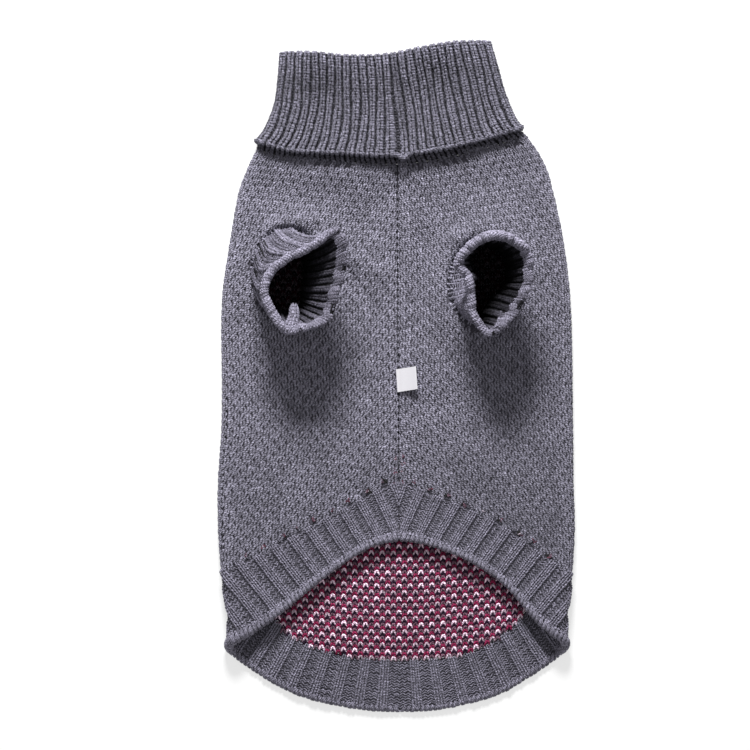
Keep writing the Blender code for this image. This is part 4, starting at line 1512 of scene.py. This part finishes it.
def every_other(across, rise):
    """Raises every other rib."""
    return rise / 2 * (1 + np.cos(np.pi * across / SLEEVE_RIB))


def curled(name, share, up):
    """The outer face's ribs curve on their way up."""
    return share + OUTER_CURL[name] * np.sin(np.pi * np.clip(up, 0, 1))


def near_rim(up):
    """The ribs flatten just below the cast-off edge."""
    return 0.3 + 0.7 * ease((1 - up) / 0.15)


def sleeve_wall(name):
    across = np.arange(SLEEVE_RIBS * 6) / 6 * SLEEVE_RIB
    share = across / SLEEVE_ROUND
    rib = narrow_rise(across, SLEEVE_RIB, SLEEVE_RISE[name]) - 0.8 + every_other(across, OUTER_FOLD[name])
    inner_rib = narrow_rise(across, SLEEVE_RIB, INNER_RISE) - 0.95 + every_other(across, INNER_FOLD)
    outside, inside = ([seam_ring(ARMHOLE_SEAMS[name], len(across), inset, -depth)
                        for depth in (BODY_WALL - SEAM_GAP, 0.8)]
                       for inset in (SEAM_GAP, SEAM_GAP + RIB_WALL))
    for up in (0.03, 0.08, 0.15, 0.24, 0.34, 0.44, 0.55, 0.66, 0.77, 0.87, 0.94, 0.98, 1.0):
        strength = ease((1 - up) / 0.03 + 0.2) * near_rim(up)
        outside.append(sleeve_face(name, curled(name, share, up), up, rib * strength))
        inside.append(sleeve_face(name, share, up, -RIB_WALL - inner_rib * strength))
    return cloth_wall(f"sleeve_{name}_cloth", np.array(outside), np.array(inside), cuff_backing, True)


# %% Sleeve yarns
CUFF_GREY = tuple(1.10 * value for value in RIB_GREY)
SLEEVE_COURSES = 24
SLEEVE_LONG = 36.0
OUTER_DEEP = {"left": 0.6, "right": 0.05}
# Painted light of the inner face at eight places round the mouth, less where the rim shades it, and the
# share of the way up below which painted shade deepens into the mouth.
INNER_LIGHT = {"left": (0.40, 0.62, 0.84, 0.50, 0.30, 0.20, 0.26, 0.33),
               "right": (0.40, 0.50, 0.62, 0.17, 0.14, 0.22, 0.40, 0.42)}
INNER_SHADE_FROM = {"left": 0.46, "right": 0.62}
RIM_SIZE = {"left": (1.0, 1.0, 0.9, 0.78, 0.72, 0.78, 1.0, 1.1),
            "right": (0.95, 0.95, 0.85, 0.75, 0.78, 1.0, 1.15, 1.1)}


def round_mouth(values, share):
    """Looks up eight values given round the mouth, from its left side on by way of the hem side."""
    return np.interp(share % 1.0 * 8, np.arange(9), values + values[:1])


# %% Ribs of a cuff
def cuff_ribs(rise, deep, close, fold):
    """The ribs of one face as place across, way up and height: the knit, then the purl."""
    strands = narrow_rib(np.arange(SLEEVE_RIBS), np.arange(SLEEVE_COURSES), SLEEVE_RIB, rise, deep, close)
    for across, along, height in map(apart, strands):
        up = along / COLLAR_COURSE / SLEEVE_COURSES
        height = height + every_other(across, fold)
        yield across, up, np.where(height > 0, height * near_rim(up), height)


def outer_cuff(name):
    """The outer face, whose sunk ribs are painted darker as shade.  At the foot of the left cuff, on its
    left, the purl bumps stand out like beads.
    """
    made = []
    # How much darker the sunk ribs are painted, as shade.
    deep = OUTER_FOLD[name] * 0.36
    ribs = cuff_ribs(SLEEVE_RISE[name], OUTER_DEEP[name], 0.85, OUTER_FOLD[name])
    for (across, up, height), bead in zip(ribs, (-0.5, 1.1)):
        share = across / SLEEVE_ROUND
        if name == "left":
            height = height + ease((0.16 - np.abs(share - 0.99)) / 0.04) * ease((0.40 - up) / 0.1) * bead
        tint = 1 - deep + every_other(across.mean((1, 2)), deep)
        made.append((sleeve_face(name, curled(name, share, up), up, height), tint))
    return made


def inner_cuff(name):
    """The inner face, painted darker as shade on its way down into the mouth, on its purl and sunk ribs, and
    round the side that the rim shades.
    """
    made = []
    shade_from = INNER_SHADE_FROM[name]
    for (across, up, height), tone in zip(cuff_ribs(INNER_RISE, 0.9, 0.68, INNER_FOLD), (1.0, 0.5)):
        share = across / SLEEVE_ROUND
        tint = blend(0.10, 0.98, ease((up.mean((1, 2)) - shade_from) / (0.98 - shade_from))) * tone
        tint = tint * (0.6 + every_other(across.mean((1, 2)), 0.4))
        tint = tint * round_mouth(INNER_LIGHT[name], share.mean((1, 2)))
        made.append((sleeve_face(name, share, up, -RIB_WALL - height), tint))
    return made


# %% Rim and seam end of a cuff
def cuff_rim(name):
    """Cast-off loops round the mouth, smaller in places, with painted shade in the valleys between the small
    ones.
    """
    along, turn, reach = rim_loops(SLEEVE_ROUND, SLEEVE_RIB / 3, 1.6, 1.25, 0.5)
    share = along / SLEEVE_ROUND
    size = round_mouth(RIM_SIZE[name], share)
    lump = 0.8 * np.sin(along * 0.45) * np.sin(along * 0.17 + 1.0) + 0.3 * np.sin(along * 1.3)
    rim = sleeve_face(name, share, 1.0 + (reach * size * np.cos(turn) - 1.4 + lump) / SLEEVE_LONG,
                      reach * size * np.sin(turn) - RIB_WALL / 2)
    # Painted shade of the valleys between small loops.
    valley_shade = (0.35 + 1 - every_other(along, 1.0)) * (1.0 - np.minimum(size, 1.0)) * 2.0
    return rim, shades(CUFF_GREY, len(rim), 0.08) * (1.12 - valley_shade).mean((1, 2))[:, None]


# Where the folded end of each sleeve's seam starts at the rim and where it ends inside the mouth.
SEAM_END = {"left": ((-62.6, 28.0, 41.0), (-60.2, 43.5, 31.0)),
            "right": ((61.0, 29.0, 42.0), (61.5, 39.0, 33.0))}
SEAM_END_ROWS = 7
SEAM_END_COURSE = 2.3


def seam_allowance(name):
    """The end of the sleeve's own seam, folded in at the hem side of the mouth: from the rim, inwards."""
    rim, tip = np.array(SEAM_END[name])
    wale, course = every(np.arange(-1, 1), np.arange(SEAM_END_ROWS))
    thick = np.array([0.60, 0.85, 0.88, 0.62]) * uneven(2 * len(wale), 0.85, 1.2)
    across, along, height = apart(half_tube(legs(wale, course, 3.5, SEAM_END_COURSE, 1.0), thick))
    share = along / (SEAM_END_ROWS * SEAM_END_COURSE)
    place = rim + (tip - rim) * (share * (1 - 0.010 * across ** 2))[..., None]
    place[..., 0] += across * (1.2 - 0.5 * share) + 1.2 * np.sin(3 * share)
    place[..., 2] += height + 1.8 - (across / 2.6) ** 2 - 3.0 * ease((share - 0.7) / 0.4)
    return place, shades(CUFF_GREY, len(place), 0.15) * (0.95 if name == "left" else 0.75)


def sleeve_batches(name):
    made = []
    for face in (outer_cuff, inner_cuff):
        made += [(place, shades(CUFF_GREY, len(place), 0.12) * tint[:, None]) for place, tint in face(name)]
    return made + [cuff_rim(name), seam_allowance(name)]


sleeves, sleeve_stitches = {}, {}
for name in SIDES.values():
    sleeves[name] = sleeve_wall(name)
    sleeve_stitches[name] = yarn_object(f"sleeve_{name}_stitches", sleeve_batches(name), inside_yarn)

# %% [markdown]
# ## Label
# A folded tape, woven white, caught in the belly seam.  It carries no mark.

# %% Label tape
LABEL_LENGTH = 11.9
LABEL_WIDTH = 13.6
LABEL_THICK = 1.1
LABEL_Y = -1.9
LABEL_RISE = 3.0
LABEL_TILT = 1.9
LABEL_SKEW = -0.07


def tape_colour(pen):
    place = pen.add("TexCoord", None, None, "Object")
    weave = pen.add("TexWave", {"bands_direction": "Y"}, {"Vector": place, "Scale": 900.0})
    return pen.mix((0.50, 0.49, 0.52), (0.60, 0.59, 0.62), weave)


tape = surface("tape", tape_colour, 0.7, 0.1)


def label_wall():
    along, half = np.meshgrid(np.linspace(0, 1, 25), np.linspace(-0.5, 0.5, 13), indexing="ij")
    thick = LABEL_THICK * np.sqrt(np.clip(1 - ((along - 0.93) / 0.07).clip(0, 1) ** 2, 0.02, 1))
    x = belly_seam_x(LABEL_Y) - 0.9 + LABEL_LENGTH * along + LABEL_SKEW * LABEL_WIDTH * half
    y = LABEL_Y + LABEL_WIDTH * half + LABEL_TILT * (along - 0.5)
    z = belly_top(x, y) + LAYER_GAP + LABEL_RISE * along ** 2 + (LABEL_THICK - thick) / 2
    return together(x, y, z + thick), together(x, y, z)


label = cloth_wall("label_tape_piece", *label_wall(), tape)

# %% [markdown]
# ## What each piece stands for
# Every wall takes the place of its part, which is hidden, and the stitches go with it.

# %% Pieces in place of the parts
print(f"all the yarn together: {sum(triangles.values())} triangles")
dress(back, "back_panel", [side_stitches, inside_stitches])
for name in SIDES.values():
    dress(bellies[name], "belly_" + name,
          [belly_stitches[name]])
    dress(hem_belly[name], "hem_belly_" + name,
          [hem_belly_stitches[name]])
    dress(sleeves[name], "sleeve_" + name, [sleeve_stitches[name]])
dress(hem_back, "hem_back", [hem_back_stitches])
dress(collar, "collar", [collar_stitches])
dress(label, "label")

# %% Floor
paper = surface("floor", (0.34, 0.34, 0.34), 0.7, glow=0.62)
FLOOR = np.array([(-6, -6, -0.0004), (6, -6, -0.0004), (6, 6, -0.0004), (-6, 6, -0.0004)]) / MM
floor = mesh_object("floor", FLOOR, np.array([[0, 1, 2, 3]]), paper)
